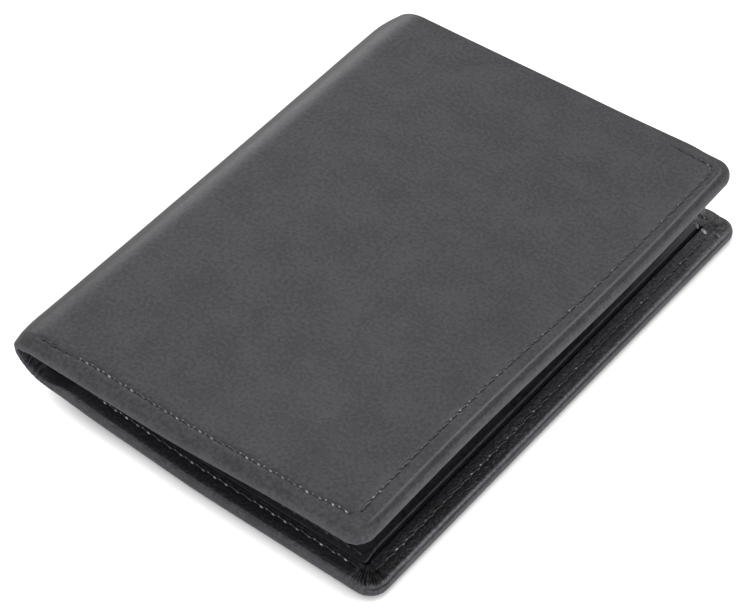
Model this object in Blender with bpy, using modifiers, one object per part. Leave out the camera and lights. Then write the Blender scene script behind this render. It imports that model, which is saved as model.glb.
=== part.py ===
"""Portrait bifold wallet in smooth leather, lying closed on its back.

The wallet is one strip of leather with turned edges, folded once round a soft spine. Each
half carries a note compartment and an inner panel. The back half holds a coin pocket with a
flap and a press stud, the front half three stepped card slots.

Every sheet is cut flat and then laid on the fold. In the flat, x runs from the spine to the
opening edge, y from the near edge to the far edge, and w is the depth below the outer face.
"""

import math

import bmesh
import bpy
from mathutils import Matrix, Vector

MM = 0.001

# Closed outline
WIDTH = 91.5 * MM
HEIGHT = 125.0 * MM
COVER_SHORT = 2.4 * MM
COVER_SKEW = 0.5 * MM
CORNER_RADIUS = 4.0 * MM
EDGE_ROUND = 1.3 * MM

# Sheets and the clearance between them
LEATHER = 0.8 * MM
LINING = 0.25 * MM
BACK_PANEL = 1.0 * MM
SLOT_LEATHER = 0.5 * MM
CLEAR = 0.3 * MM
CREASE_GAP = 0.4 * MM

# Turned edges
HEM_SIDE = 5.4 * MM
HEM_NEAR = 4.6 * MM
HEM_FAR = 6.0 * MM
TURN_START = 10.0 * MM
TURN_STEP = 0.5 * MM
SLIT = 0.7 * MM
WINDOW_RADIUS = 3.0 * MM

# Inner panels
PANEL_START = 10.5 * MM
PANEL_SHORT = 5.5 * MM
DIVIDER_SHORT = 3.0 * MM
PANEL_RADIUS = 2.0 * MM

# Card slots on the front panel
SLOT_COUNT = 3
SLOT_FIRST = 20.0 * MM
SLOT_STEP = 11.0 * MM
SLOT_LENGTH = 90.0 * MM
SLOT_INSET = 1.0 * MM
SLOT_CORNER = 2.5 * MM
THUMB_WIDTH = 30.0 * MM
THUMB_DEPTH = 4.0 * MM

# Coin pocket on the back panel
COIN_WIDTH = 53.0 * MM
COIN_LENGTH = 57.0 * MM
COIN_SIDE = 2.9 * MM
COIN_NEAR = 4.1 * MM
COIN_ROOM = 1.2 * MM
COIN_WALL = 0.7 * MM
COIN_RADIUS = 5.0 * MM
GUSSET_WALL = 1.2 * MM
GUSSET_SHORT = 2.0 * MM
SCOOP_WIDTH = 40.0 * MM
SCOOP_DEPTH = 3.0 * MM

# Coin flap
FLAP_LENGTH = 38.0 * MM
FLAP_OVER = 28.0 * MM
FLAP_TIP_RADIUS = 13.0 * MM
FLAP_SLOPE = 8.5 * MM
FLAP_STRIP = 8.0 * MM
FLAP_STRIP_RADIUS = 1.5 * MM
FLAP_GAP = 0.4 * MM
FLAP_PIVOT_RISE = 0.35 * MM

# Press stud
STUD_FROM_TIP = 10.0 * MM
POST_SHANK = 1.2 * MM
POST_FLANGE = 3.2 * MM
POST_HEAD = 1.7 * MM
POST_HEAD_HEIGHT = 0.9 * MM
POST_NECK = 0.25 * MM
FLANGE_DEPTH = 0.3 * MM
SOCKET_WALL = 1.6 * MM
SOCKET_HEIGHT = 0.9 * MM
CAP_SHEET = 0.5 * MM
CAP_LIP = 1.3 * MM
CAP_CROWN = 0.35 * MM

# Shape of the fold, closed
SPINE_DEPTH = 8.0 * MM
LIFT_NEAR = 2.7 * MM
LIFT_FAR = 1.8 * MM
LIFT_START = 40.0 * MM
FOLD_ROOM = 0.5 * MM
FOLD_TAPER = 1.5 * MM
RISE_NEAR = 2.6 * MM
RISE_FAR = 0.8 * MM
RISE_START = 36.0 * MM
RISE_END = 82.0 * MM
WAVE_HEIGHT = 0.8 * MM
WAVE_LENGTH = 108.0 * MM
WAVE_OFFSET = 3.0 * MM
WAVE_START = 55.0 * MM
WAVE_END = 85.0 * MM
NEAR_TAPER = 0.6 * MM
NEAR_TAPER_START = 30.0 * MM
NEAR_TAPER_END = 52.0 * MM
SPINE_BULGE = 2.0 * MM
PINCH_NEAR_LOW = 4.4 * MM
PINCH_NEAR_HIGH = 0.4 * MM
PINCH_FAR = 2.6 * MM
PINCH_RUN = 8.0 * MM
AXIS_OUT_LOW = 0.2 * MM
AXIS_OUT_HIGH = 1.15 * MM

# Shares of the spine's curve
crease_low_share = 0.28
crease_high_share = 0.70
handle_share = 4.0 / 3.0
bulge_power_share = 1.6
taper_power_share = 3.0

# Steps in which a sheet follows the fold
SPINE_PITCH = 1.4 * MM
BACK_PITCH = 5.0 * MM
COVER_PITCH = 8.0 * MM
LENGTH_PITCH = 12.5 * MM
BACK_LENGTH_PITCH = 31.25 * MM
CORNER_SEGMENTS = 6
ROUND_SEGMENTS = 3
TURN_STEPS = 32
GIRTH_SAMPLES = 200
OVERRUN = 1.0 * MM
FINE = 0.01 * MM

# Depths that follow from the sheets
COVER_WIDTH = WIDTH - COVER_SHORT
FOLDED = 2 * LEATHER
LINING_TOP = LEATHER + CLEAR
DIVIDER_TOP = max(LINING_TOP + LINING, FOLDED) + CLEAR
HEM_TOP = DIVIDER_TOP + LINING + CLEAR
EDGE = HEM_TOP + LEATHER
SLOT_TOP = EDGE + CLEAR
SLOT_RISE = SLOT_LEATHER + CLEAR
FRONT_STACK = SLOT_TOP + SLOT_COUNT * SLOT_RISE - CLEAR
COIN_TOP = HEM_TOP + BACK_PANEL + CLEAR
WALL_TOP = COIN_TOP + COIN_ROOM + CLEAR
FLAP_TOP = WALL_TOP + COIN_WALL + CLEAR
CAP_TOP = FLAP_TOP + LEATHER + CLEAR
SOCKET_TOP = FLAP_TOP + FLANGE_DEPTH + CLEAR
CAP_ROOM = max(SOCKET_TOP + SOCKET_HEIGHT + CLEAR - CAP_TOP, CLEAR)
BACK_STACK = CAP_TOP + CAP_ROOM + CAP_SHEET + CAP_CROWN
CLOSED_HEIGHT = BACK_STACK + FRONT_STACK + FOLD_ROOM

# Places that follow from the outline
PANEL_END = WIDTH - HEM_SIDE - SLIT
COVER_PANEL_END = COVER_WIDTH - HEM_SIDE - SLIT
PANEL_NEAR = HEM_NEAR + CLEAR
PANEL_FAR = HEIGHT - PANEL_SHORT
COIN_RIGHT = PANEL_END - COIN_SIDE
COIN_LEFT = COIN_RIGHT - COIN_WIDTH
COIN_LOW = PANEL_NEAR + COIN_NEAR
COIN_MOUTH = COIN_LOW + COIN_LENGTH
FLAP_TIP = COIN_MOUTH - FLAP_OVER
FLAP_ROOT = FLAP_TIP + FLAP_LENGTH
STUD_X = (COIN_LEFT + COIN_RIGHT) / 2
STUD_Y = FLAP_TIP + STUD_FROM_TIP
SOCKET_BORE = POST_HEAD + CLEAR
SOCKET_RADIUS = SOCKET_BORE + SOCKET_WALL
FLAP_HOLE = max(SOCKET_RADIUS, POST_FLANGE) + CLEAR
CAP_RADIUS = FLAP_HOLE + CAP_LIP


def smooth(value):
    """Smooth step from 0 to 1."""
    t = min(1.0, max(0.0, value))
    return t * t * (3 - 2 * t)


def along(y):
    """Share of the way from the near edge to the far edge."""
    return min(1.0, max(0.0, y / HEIGHT))


def back_height(x, y):
    """Height of the back half's outer face, which curls up towards the spine."""
    lift = LIFT_NEAR + (LIFT_FAR - LIFT_NEAR) * along(y)
    run = max(0.0, (LIFT_START - x) / (LIFT_START - SPINE_DEPTH))
    return lift * run * run


def cover_height(x, y):
    """Height of the cover's outer face."""
    share = along(y)
    spine = CLOSED_HEIGHT + FOLD_TAPER * (2 * share - 1)
    near = RISE_NEAR * smooth((x - RISE_START) / (RISE_END - RISE_START))
    far = RISE_FAR * smooth((x - SPINE_DEPTH) / (RISE_END - SPINE_DEPTH))
    wave = math.sin(math.tau * (y - WAVE_OFFSET) / WAVE_LENGTH)
    wave *= WAVE_HEIGHT * smooth((x - WAVE_START) / (WAVE_END - WAVE_START))
    return spine + near * (1 - share) + far * share + wave


def spine_point(share, y):
    """Point (x, z) of the spine's outer face, from 0 at the back half to 1 at the cover."""
    near_end = max(0.0, 1 - y / PINCH_RUN) ** 2
    far_end = max(0.0, 1 - (HEIGHT - y) / PINCH_RUN) ** 2
    handle = handle_share * (SPINE_DEPTH + SPINE_BULGE * along(y) ** bulge_power_share) - PINCH_FAR * far_end
    low_handle = handle - PINCH_NEAR_LOW * near_end
    high_handle = handle - PINCH_NEAR_HIGH * near_end
    low = back_height(SPINE_DEPTH, y)
    high = cover_height(SPINE_DEPTH, y)
    slope = 2 * low / (LIFT_START - SPINE_DEPTH)
    points = [
        Vector((SPINE_DEPTH, low)),
        Vector((SPINE_DEPTH - low_handle, low + slope * low_handle)),
        Vector((SPINE_DEPTH - high_handle, high)),
        Vector((SPINE_DEPTH, high)),
    ]
    t, u = share, 1 - share
    weights = (u * u * u, 3 * u * u * t, 3 * u * t * t, t * t * t)
    return sum((p * k for p, k in zip(points, weights)), Vector((0, 0)))


def spine_girth():
    """Length of the spine's outer face, half way between the near and far edges."""
    points = [spine_point(i / GIRTH_SAMPLES, HEIGHT / 2) for i in range(GIRTH_SAMPLES + 1)]
    return sum((b - a).length for a, b in zip(points, points[1:]))


GIRTH = spine_girth()
SPINE_OUT = SPINE_BULGE * along(HEIGHT - PINCH_RUN) ** bulge_power_share
MIDDLE = (WIDTH - SPINE_OUT) / 2
CREASE_LOW = crease_low_share * GIRTH
CREASE_HIGH = crease_high_share * GIRTH


def outer_point(run, y):
    """Point (x, z) of the outer face, at a distance round the fold from the back's spine side."""
    if run < 0:
        x = SPINE_DEPTH - run
        return Vector((x, back_height(x, y)))
    if run <= GIRTH:
        return spine_point(run / GIRTH, y)
    reach = run - GIRTH
    stretch = 1 + COVER_SKEW * (along(y) - 0.5) / (COVER_WIDTH - SPINE_DEPTH)
    x = SPINE_DEPTH + reach * stretch
    return Vector((x, cover_height(x, y)))


def laid(run, y, w):
    """Point of the folded wallet for a distance round the fold, a distance along it and a depth."""
    point = outer_point(run, y)
    ahead = outer_point(run + FINE, y) - outer_point(run - FINE, y)
    inward = Vector((ahead.y, -ahead.x)).normalized()
    point = point + inward * w
    taper = smooth((NEAR_TAPER_END - point.x) / (NEAR_TAPER_END - NEAR_TAPER_START))
    taper *= 1 - smooth(run / GIRTH)
    shift = NEAR_TAPER * taper * (1 - along(y)) ** taper_power_share
    return Vector((point.x - MIDDLE, y + shift - HEIGHT / 2, point.y))


def run_of_back(x):
    """Distance round the fold of a place on the back half."""
    return SPINE_DEPTH - x


def run_of_cover(x):
    """Distance round the fold of a place on the front half."""
    return GIRTH + x - SPINE_DEPTH


def run_of_spine(x):
    """Distance round the fold of a place on the spine, where x is that distance."""
    return x


def fold_line(run, out):
    """Middle of the straight axis on which the strip folds, at a distance round the fold.

    The spine bulges towards its far end. The axis lies out from the leather's middle, so that
    it meets the outer face at the bulge and the strip turns there without cutting into itself.
    """
    point = outer_point(run, HEIGHT / 2)
    ahead = outer_point(run + FINE, HEIGHT / 2) - outer_point(run - FINE, HEIGHT / 2)
    point = point + Vector((-ahead.y, ahead.x)).normalized() * out
    return Vector((point.x - MIDDLE, 0, point.y))


def steps(low, high, pitch):
    """Even places between two limits, about one pitch apart."""
    count = max(1, math.ceil((high - low) / pitch))
    return [low + (high - low) * i / count for i in range(1, count)]


def back_bends():
    """Places across the back half where its sheets may bend."""
    return steps(0, SPINE_DEPTH, SPINE_PITCH) + steps(SPINE_DEPTH, LIFT_START, BACK_PITCH) + [LIFT_START]


def cover_bends():
    """Places across the front half where its sheets may bend."""
    return steps(0, SPINE_DEPTH, SPINE_PITCH) + steps(SPINE_DEPTH, COVER_WIDTH, COVER_PITCH)


def spine_bends():
    """Places round the spine where its sheets bend."""
    return steps(0, GIRTH, SPINE_PITCH)


def end_bends():
    """Places along the spine where its ends are drawn in."""
    quarter = PINCH_RUN / 4
    ends = [quarter, 2 * quarter, PINCH_RUN]
    return ends + [HEIGHT - end for end in ends]


class Region:
    """One stretch of the folded strip: how its flat sheets map onto the fold, and where they bend."""

    def __init__(self, name, run_of, bends, pitch, start, end, origin=None):
        self.name = name
        self.run_of = run_of
        self.bends = bends
        self.lengths = steps(0, HEIGHT, pitch)
        self.start = start
        self.end = end
        self.origin = origin


HALF_CREASE = CREASE_GAP / 2
BACK = Region(
    "back", run_of_back, back_bends(), BACK_LENGTH_PITCH, SPINE_DEPTH - CREASE_LOW + HALF_CREASE, WIDTH
)
SPINE = Region(
    "spine", run_of_spine, spine_bends(), BACK_LENGTH_PITCH, CREASE_LOW + HALF_CREASE,
    CREASE_HIGH - HALF_CREASE, fold_line(CREASE_LOW, AXIS_OUT_LOW),
)
FRONT = Region(
    "front", run_of_cover, cover_bends(), LENGTH_PITCH, SPINE_DEPTH - GIRTH + CREASE_HIGH + HALF_CREASE,
    COVER_WIDTH, fold_line(CREASE_HIGH, AXIS_OUT_HIGH),
)


def clear_scene():
    """Removes every object that the file already holds."""
    for old in list(bpy.data.objects):
        bpy.data.objects.remove(old, do_unlink=True)


def new_collection(name):
    """Collection in the scene, empty."""
    group = bpy.data.collections.get(name) or bpy.data.collections.new(name)
    if name not in bpy.context.scene.collection.children:
        bpy.context.scene.collection.children.link(group)
    return group


def principled(name, colour, roughness, metallic=0.0):
    """Material with one Principled shader."""
    made = bpy.data.materials.new(name)
    made.use_nodes = True
    shader = made.node_tree.nodes["Principled BSDF"]
    shader.inputs["Base Color"].default_value = (*colour, 1.0)
    shader.inputs["Roughness"].default_value = roughness
    shader.inputs["Metallic"].default_value = metallic
    return made


def box_mesh(low, high, corner=0.0, corners=(), rim=0.0, open_side=False):
    """Flat block between two corners, with rounded plan corners and a rounded rim.

    corners names the plan corners to round as pairs of signs. With open_side the rim at the
    low x end stays square.
    """
    bm = bmesh.new()
    bmesh.ops.create_cube(bm, size=1.0)
    size = Vector(high) - Vector(low)
    middle = (Vector(high) + Vector(low)) / 2
    bmesh.ops.transform(bm, matrix=Matrix.Translation(middle) @ Matrix.Diagonal((*size, 1)), verts=bm.verts)
    if corner > 0:
        chosen = []
        for edge in bm.edges:
            a, b = (vert.co - middle for vert in edge.verts)
            upright = (a - b).xy.length < FINE
            signs = (math.copysign(1, a.x), math.copysign(1, a.y))
            if upright and signs in corners:
                chosen.append(edge)
        bmesh.ops.bevel(bm, geom=chosen, offset=corner, segments=CORNER_SEGMENTS, profile=0.5, affect="EDGES")
    if rim > 0:
        rims = []
        for edge in bm.edges:
            a, b = (vert.co for vert in edge.verts)
            level = abs(a.z - b.z) < FINE
            across = abs(a.x - low[0]) < FINE and abs(b.x - low[0]) < FINE
            if level and not (open_side and across):
                rims.append(edge)
        bmesh.ops.bevel(bm, geom=rims, offset=rim, segments=ROUND_SEGMENTS, profile=0.5, affect="EDGES")
    mesh = bpy.data.meshes.new("flat")
    bm.to_mesh(mesh)
    bm.free()
    return mesh


ALL_CORNERS = ((1, 1), (1, -1), (-1, 1), (-1, -1))
FREE_CORNERS = ((1, 1), (1, -1))


def disc_mesh(radius, low, high, centre, segments):
    """Upright round cutter between two depths."""
    bm = bmesh.new()
    bmesh.ops.create_cone(
        bm, cap_ends=True, segments=segments, radius1=radius, radius2=radius, depth=high - low
    )
    place = Matrix.Translation((centre[0], centre[1], (low + high) / 2))
    bmesh.ops.transform(bm, matrix=place, verts=bm.verts)
    mesh = bpy.data.meshes.new("disc")
    bm.to_mesh(mesh)
    bm.free()
    return mesh


def carved(blank, cutters):
    """Mesh of a blank less its cutters."""
    scene = bpy.context.scene.collection
    body = bpy.data.objects.new("blank", blank)
    scene.objects.link(body)
    tools = []
    for mesh in cutters:
        tool = bpy.data.objects.new("cutter", mesh)
        tool.hide_render = True
        tool.display_type = "WIRE"
        scene.objects.link(tool)
        cut = body.modifiers.new("cut", "BOOLEAN")
        cut.operation = "DIFFERENCE"
        cut.solver = "EXACT"
        cut.object = tool
        tools.append(tool)
    bpy.context.view_layer.update()
    graph = bpy.context.evaluated_depsgraph_get()
    result = bpy.data.meshes.new_from_object(body.evaluated_get(graph), depsgraph=graph)
    for made in [body, *tools]:
        bpy.data.objects.remove(made, do_unlink=True)
    return result


def arc_cutter(width, depth, mouth, low, high, across):
    """Shallow round cutter that scoops a straight edge.

    mouth is the middle of the edge. With across the edge runs along x and the cutter comes
    from high y, otherwise it runs along y and the cutter comes from low x.
    """
    radius = (width * width / 4 + depth * depth) / (2 * depth)
    away = radius - depth
    centre = (mouth[0], mouth[1] + away) if across else (mouth[0] - away, mouth[1])
    return disc_mesh(radius, low, high, centre, TURN_STEPS * 4)


class Bench:
    """Holds the collection and puts finished pieces into it."""

    def __init__(self, group):
        self.group = group

    def add(self, name, mesh, material, origin=None):
        """Object for a finished mesh, with its origin where it turns or at the world origin."""
        mesh.name = name
        mesh.materials.clear()
        mesh.materials.append(material)
        piece = bpy.data.objects.new(name, mesh)
        if origin is not None:
            mesh.transform(Matrix.Translation(-origin))
            piece.location = origin
        self.group.objects.link(piece)
        mesh.shade_smooth()
        mesh.set_sharp_from_angle(angle=math.radians(35))
        return piece

    def sheet(self, name, mesh, material, region, more_lengths=(), shift=None, origin=None):
        """Lays a flat mesh on its stretch of the fold and adds it."""
        bm = bmesh.new()
        bm.from_mesh(mesh)
        for place in region.bends:
            cut_plane(bm, (place, 0, 0), (1, 0, 0))
        for place in [*region.lengths, *more_lengths]:
            cut_plane(bm, (0, place, 0), (0, 1, 0))
        bmesh.ops.triangulate(bm, faces=bm.faces)
        for vert in bm.verts:
            x, y, w = vert.co
            if shift is not None:
                w += shift(y)
            vert.co = laid(region.run_of(x), y, w)
        if bm.calc_volume(signed=True) < 0:
            bmesh.ops.reverse_faces(bm, faces=bm.faces)
        bm.to_mesh(mesh)
        bm.free()
        return self.add(name, mesh, material, origin or region.origin)


def cut_plane(bm, point, normal):
    """Adds a line of edges where a plane crosses the mesh."""
    geometry = bm.verts[:] + bm.edges[:] + bm.faces[:]
    bmesh.ops.bisect_plane(bm, geom=geometry, dist=FINE / 100, plane_co=point, plane_no=normal)


def turned_cover(start, end):
    """Flat leather of one half, with its hem turned in on three sides.

    The near and opening sides are turned round the linings. The far side is folded flat, and
    so is the near side beside the spine, so that the note compartment stays open.
    """
    over = OVERRUN
    blank = box_mesh(
        (start, 0, 0), (end, HEIGHT, EDGE), CORNER_RADIUS, FREE_CORNERS, EDGE_ROUND, open_side=True
    )
    fold_line = HEIGHT - HEM_FAR
    inside = end - HEM_SIDE
    hollow = box_mesh(
        (TURN_START - TURN_STEP, LEATHER, LEATHER),
        (end - LEATHER, fold_line, HEM_TOP),
        CORNER_RADIUS - LEATHER,
        ((1, -1),),
    )
    spine_side = box_mesh((start - over, HEM_NEAR, LEATHER), (TURN_START + over, fold_line, EDGE + over))
    near_fold = box_mesh((start - over, -over, FOLDED), (TURN_START, HEM_NEAR + over, EDGE + over))
    far_mouth = box_mesh((start - over, fold_line - TURN_STEP, FOLDED), (inside, HEIGHT + over, EDGE + over))
    window = box_mesh(
        (TURN_START - TURN_STEP, HEM_NEAR, HEM_TOP - TURN_STEP / 2),
        (inside, fold_line + over, EDGE + over),
        WINDOW_RADIUS,
        ((1, -1),),
    )
    return carved(blank, [hollow, spine_side, near_fold, far_mouth, window])


def folded_spine(start, end):
    """Flat leather of the spine, folded over at its near and far ends."""
    blank = box_mesh((start, 0, 0), (end, HEIGHT, FOLDED))
    inside = box_mesh(
        (start - OVERRUN, HEM_NEAR, LEATHER), (end + OVERRUN, HEIGHT - HEM_FAR, FOLDED + OVERRUN)
    )
    return carved(blank, [inside])


def make_covers(bench, hide):
    """Outer leather of the back half, the spine and the front half."""
    back = turned_cover(BACK.start, BACK.end)
    bench.sheet("back_cover_leather", back, hide, BACK, end_bends())
    spine = folded_spine(SPINE.start, SPINE.end)
    bench.sheet("spine_leather", spine, hide, SPINE, end_bends())
    front = turned_cover(FRONT.start, FRONT.end)
    bench.sheet("front_cover_leather", front, hide, FRONT, end_bends())


def make_notes(bench, cloth):
    """Lining and divider of the note compartment, each in three stretches."""
    low = HEM_NEAR + CLEAR
    lining_short = LEATHER + CLEAR + EDGE_ROUND
    divider_short = HEM_SIDE + SLIT
    lining_far = HEIGHT - HEM_FAR - TURN_STEP - CLEAR
    divider_far = HEIGHT - DIVIDER_SHORT
    for region in (BACK, SPINE, FRONT):
        free = region is not SPINE
        corners = FREE_CORNERS if free else ()
        for layer, depth, short, far in (
            ("note_lining", LINING_TOP, lining_short, lining_far),
            ("note_divider", DIVIDER_TOP, divider_short, divider_far),
        ):
            end = region.end - short if free else region.end
            flat = box_mesh(
                (region.start, low, depth), (end, far, depth + LINING), PANEL_RADIUS, corners
            )
            bench.sheet(f"{region.name}_{layer}", flat, cloth, region)


def make_panels(bench, hide):
    """Inner leather of each half. The back one stays open along the opening edge."""
    back = box_mesh(
        (PANEL_START, PANEL_NEAR, HEM_TOP), (PANEL_END, PANEL_FAR, HEM_TOP + BACK_PANEL),
        PANEL_RADIUS, ALL_CORNERS, CLEAR,
    )
    bench.sheet("back_inner_panel", back, hide, BACK)
    front = box_mesh(
        (PANEL_START, PANEL_NEAR, HEM_TOP), (COVER_PANEL_END, PANEL_FAR, EDGE), PANEL_RADIUS, ALL_CORNERS
    )
    bench.sheet("front_inner_panel", front, hide, FRONT)


def make_slots(bench, hide):
    """Stepped card slots of the front half, whose mouths face the spine."""
    middle = (PANEL_NEAR + PANEL_FAR) / 2
    low, high = middle - SLOT_LENGTH / 2, middle + SLOT_LENGTH / 2
    for number in range(SLOT_COUNT):
        mouth = SLOT_FIRST + number * SLOT_STEP
        top = SLOT_TOP + number * SLOT_RISE
        end = COVER_PANEL_END - SLOT_INSET
        flat = box_mesh((mouth, low, top), (end, high, top + SLOT_LEATHER), SLOT_CORNER, ALL_CORNERS)
        if number == SLOT_COUNT - 1:
            thumb = arc_cutter(
                THUMB_WIDTH, THUMB_DEPTH, (mouth, middle), top - OVERRUN, top + SLOT_LEATHER + OVERRUN, False
            )
            flat = carved(flat, [thumb])
        bench.sheet(f"card_slot_{number + 1}", flat, hide, FRONT)


def make_coin_pocket(bench, hide, cloth):
    """Gusset and front wall of the coin pocket, and the strip that its flap is sewn to."""
    rounded = ((1, -1), (-1, -1))
    gusset_end = COIN_MOUTH - GUSSET_SHORT
    blank = box_mesh(
        (COIN_LEFT, COIN_LOW, COIN_TOP), (COIN_RIGHT, gusset_end, COIN_TOP + COIN_ROOM), COIN_RADIUS, rounded
    )
    room = box_mesh(
        (COIN_LEFT + GUSSET_WALL, COIN_LOW + GUSSET_WALL, COIN_TOP - OVERRUN),
        (COIN_RIGHT - GUSSET_WALL, gusset_end + OVERRUN, COIN_TOP + COIN_ROOM + OVERRUN),
        COIN_RADIUS - GUSSET_WALL,
        rounded,
    )
    bench.sheet("coin_pocket_gusset", carved(blank, [room]), cloth, BACK)
    wall = box_mesh(
        (COIN_LEFT, COIN_LOW, WALL_TOP), (COIN_RIGHT, COIN_MOUTH, WALL_TOP + COIN_WALL), COIN_RADIUS, rounded
    )
    low, high = WALL_TOP - OVERRUN, WALL_TOP + COIN_WALL + OVERRUN
    scoop = arc_cutter(SCOOP_WIDTH, SCOOP_DEPTH, (STUD_X, COIN_MOUTH), low, high, True)
    hole = disc_mesh(POST_SHANK + CLEAR, low, high, (STUD_X, STUD_Y), TURN_STEPS)
    bench.sheet("coin_pocket_front", carved(wall, [scoop, hole]), hide, BACK)
    strip = box_mesh(
        (COIN_LEFT, FLAP_ROOT + FLAP_GAP, COIN_TOP),
        (COIN_RIGHT, FLAP_ROOT + FLAP_GAP + FLAP_STRIP, COIN_TOP + LEATHER),
        FLAP_STRIP_RADIUS,
        ((1, 1), (-1, 1)),
    )
    bench.sheet("coin_flap_strip", strip, hide, BACK)


def flap_rise(y):
    """Climb of the flap from its sewn strip up over the mouth of the pocket."""
    return (FLAP_TOP - COIN_TOP) * smooth((FLAP_ROOT - y) / FLAP_SLOPE)


def flap_pivot():
    """Middle of the line on which the coin flap folds."""
    level = COIN_TOP + LEATHER + FLAP_PIVOT_RISE
    return Vector((STUD_X - MIDDLE, FLAP_ROOT + FLAP_GAP / 2 - HEIGHT / 2, level))


def make_flap(bench, hide):
    """Coin flap, a tongue with a hole for the press stud."""
    blank = box_mesh(
        (COIN_LEFT, FLAP_TIP, COIN_TOP), (COIN_RIGHT, FLAP_ROOT, COIN_TOP + LEATHER),
        FLAP_TIP_RADIUS, ((1, -1), (-1, -1)),
    )
    hole = disc_mesh(FLAP_HOLE, COIN_TOP - OVERRUN, COIN_TOP + LEATHER + OVERRUN, (STUD_X, STUD_Y), TURN_STEPS)
    slope = steps(FLAP_ROOT - FLAP_SLOPE, FLAP_ROOT, FLAP_SLOPE / 8) + [FLAP_ROOT - FLAP_SLOPE]
    bench.sheet("coin_flap_leather", carved(blank, [hole]), hide, BACK, slope, flap_rise, flap_pivot())


def turned(bench, name, profile, material, origin=None):
    """Round piece on the stud's axis, from a profile of radius and depth, outer side downwards."""
    mesh = bpy.data.meshes.new(name)
    closed = profile[0][0] > 0
    count = len(profile)
    edges = [(i, i + 1) for i in range(count - 1)]
    if closed:
        edges.append((count - 1, 0))
    mesh.from_pydata([(radius, 0, depth) for radius, depth in profile], edges, [])
    base = back_height(STUD_X, STUD_Y)
    axis = Vector((STUD_X - MIDDLE, STUD_Y - HEIGHT / 2, base))
    piece = bpy.data.objects.new(name, mesh)
    piece.location = axis
    bench.group.objects.link(piece)
    mesh.materials.append(material)
    screw = piece.modifiers.new("turn", "SCREW")
    screw.steps = TURN_STEPS
    screw.render_steps = TURN_STEPS
    screw.use_merge_vertices = True
    screw.merge_threshold = FINE / 10
    screw.use_smooth_shade = False
    if origin is not None:
        holder = bpy.data.objects.new(f"{name}_pivot", None)
        holder.location = origin
        bench.group.objects.link(holder)
        piece.parent = holder
        piece.location = axis - origin
    return piece


def make_stud(bench, metal, bright):
    """Press stud: a riveted post in the pocket's wall, a socket and a domed cap on the flap."""
    flange_low = WALL_TOP - CLEAR
    flange_high = WALL_TOP + COIN_WALL + CLEAR
    seat = flange_high + FLANGE_DEPTH
    head = seat + POST_HEAD_HEIGHT
    turned(bench, "stud_post", [
        (0, head),
        (POST_HEAD - POST_NECK, head),
        (POST_HEAD, head - POST_NECK),
        (POST_HEAD - POST_NECK, seat),
        (POST_FLANGE, seat),
        (POST_FLANGE, flange_high),
        (POST_SHANK, flange_high),
        (POST_SHANK, flange_low),
        (POST_FLANGE - POST_NECK, flange_low),
        (POST_FLANGE - POST_NECK, flange_low - FLANGE_DEPTH),
        (0, flange_low - FLANGE_DEPTH),
    ], metal)
    socket_end = SOCKET_TOP + SOCKET_HEIGHT
    turned(bench, "stud_socket", [
        (SOCKET_BORE, socket_end),
        (SOCKET_RADIUS - POST_NECK, socket_end),
        (SOCKET_RADIUS, socket_end - POST_NECK),
        (SOCKET_RADIUS, SOCKET_TOP),
        (SOCKET_BORE, SOCKET_TOP),
    ], metal, flap_pivot())
    ceiling = CAP_TOP + CAP_ROOM
    rim_top = ceiling + CAP_SHEET / 2
    turned(bench, "stud_cap", [
        (0, ceiling + CAP_SHEET + CAP_CROWN),
        (CAP_RADIUS / 2, ceiling + CAP_SHEET + CAP_CROWN * 3 / 4),
        (CAP_RADIUS - CAP_SHEET, rim_top),
        (CAP_RADIUS, rim_top - CAP_SHEET / 2),
        (CAP_RADIUS, CAP_TOP),
        (CAP_RADIUS - CAP_SHEET, CAP_TOP),
        (CAP_RADIUS - CAP_SHEET - POST_NECK, ceiling - POST_NECK),
        (SOCKET_RADIUS, ceiling),
        (0, ceiling),
    ], bright, flap_pivot())


def main():
    """Builds the wallet."""
    clear_scene()
    bench = Bench(new_collection("leather_wallet"))
    outer = principled("charcoal_leather", (0.075, 0.075, 0.08), 0.5)
    inner = principled("black_inner_leather", (0.02, 0.02, 0.022), 0.42)
    cloth = principled("black_lining_cloth", (0.014, 0.014, 0.016), 0.85)
    metal = principled("stud_metal", (0.42, 0.42, 0.43), 0.32, 1.0)
    bright = principled("stud_cap_metal", (0.3, 0.3, 0.31), 0.25, 1.0)
    make_covers(bench, outer)
    make_notes(bench, cloth)
    make_panels(bench, inner)
    make_slots(bench, inner)
    make_coin_pocket(bench, inner, cloth)
    make_flap(bench, inner)
    make_stud(bench, metal, bright)


main()
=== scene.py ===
"""Looks of a portrait bifold wallet in smooth charcoal leather, lying closed on its back half.

Every sheet is drawn flat and laid on the fold. In the flat, x runs from the spine to the
opening edge, y from the near edge to the far edge, and w is the depth below the outer face.
"""

import logging
import math
from collections.abc import Callable, Sequence
from dataclasses import dataclass, field
from enum import Enum
from functools import cached_property

import bmesh
import bpy
import numpy as np
from mathutils import Matrix, Vector


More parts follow.
